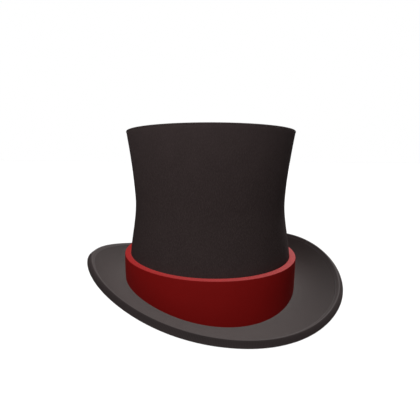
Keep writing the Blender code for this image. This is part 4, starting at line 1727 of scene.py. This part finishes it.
# %% [markdown]
# ## The cloth's flat sizes
# For each sheet, the size of the flat piece that it was cut from is printed. The sizes follow
# from the sections: the way round at the middle of the piece, times the way along its section.

# %% Flat sizes


def declare_sheet(piece, flat):
    print(f"{piece.name}: cut {flat[0] * 1000:.0f} x {flat[1] * 1000:.0f} mm")


def declare_oval(piece, wide, long):
    """Prints the size of a sheet cut as an oval."""
    declare_sheet(piece, (wide, long))


declare_sheet(felt_side, (CROWN_HEIGHT, round_way(FOOT - NIP / 2)))
declare_oval(felt_tip, 2 * TIP, 2 * TIP * OVAL)
ribbon_cut = (BAND_HEIGHT - BAND_LIFT) + 2 * (BAND_OUT - FOOT) + 2 * RIBBON_TURN
declare_sheet(band, (ribbon_cut, round_way(BAND_OUT)))
declare_sheet(tab, (TAB_WIDTH, BAND_HEIGHT - BAND_LIFT))

# %% Flat sizes of the brim's felts


def way_out(angle, inner, steps=60):
    """The way along the brim's top face, from a radius of the flat washer out to the rim."""
    reaches = np.linspace(inner, BRIM_OUT, steps)
    line = brim_surface(reaches, np.full(steps, angle))
    return float(np.linalg.norm(np.diff(line, axis=0), axis=1).sum())


def declare_brim_felt(piece, inner):
    wide = 2 * (inner + way_out(0.0, inner))
    long = 2 * inner * OVAL + way_out(math.pi / 2, inner) + way_out(-math.pi / 2, inner)
    declare_oval(piece, wide, long)


declare_brim_felt(brim_top, FLANGE_END + FIT_GAP)
declare_brim_felt(brim_under, BRIM_IN)

# %% Flat sizes of the binding, the lining and the leather


def half_way_round(section):
    """Half the way round a thin closed section: the width of the strip it was folded from."""
    return float(outline_length(list(section) + [section[0]])[-1]) / 2


rim_path = brim_path(BRIM_OUT, 0.0)
rim_way = float(np.linalg.norm(rim_path - np.roll(rim_path, 1, axis=0), axis=1).sum())
binding_cut = half_way_round(binding_section()) - BINDING
declare_sheet(binding, (binding_cut, rim_way))
satin_way = round_way(waisted(SATIN_TOP) - (FOOT - SATIN_OUT))
fullness = 1 + (math.pi * FOLD_DEPTH * FOLDS / satin_way) ** 2 / 4
declare_sheet(satin_side, (SATIN_TOP - LINING_FOOT, satin_way * fullness))
declare_oval(tip_satin, 2 * SATIN_TIP_RADIUS, 2 * SATIN_TIP_RADIUS * OVAL)
leather_cut = (LEATHER_HEIGHT - LEATHER_LOW, round_way((HEAD + LEATHER_OUT) / 2))
declare_sheet(sweatband, leather_cut)

# %% Compare the two boxes and finish
visual_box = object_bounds()
grown = [
    round((b - a) * 1000, 2) for low, high in zip(cad_box, visual_box) for a, b in zip(low, high)
]
print("visual box against the CAD box, in mm:", grown)
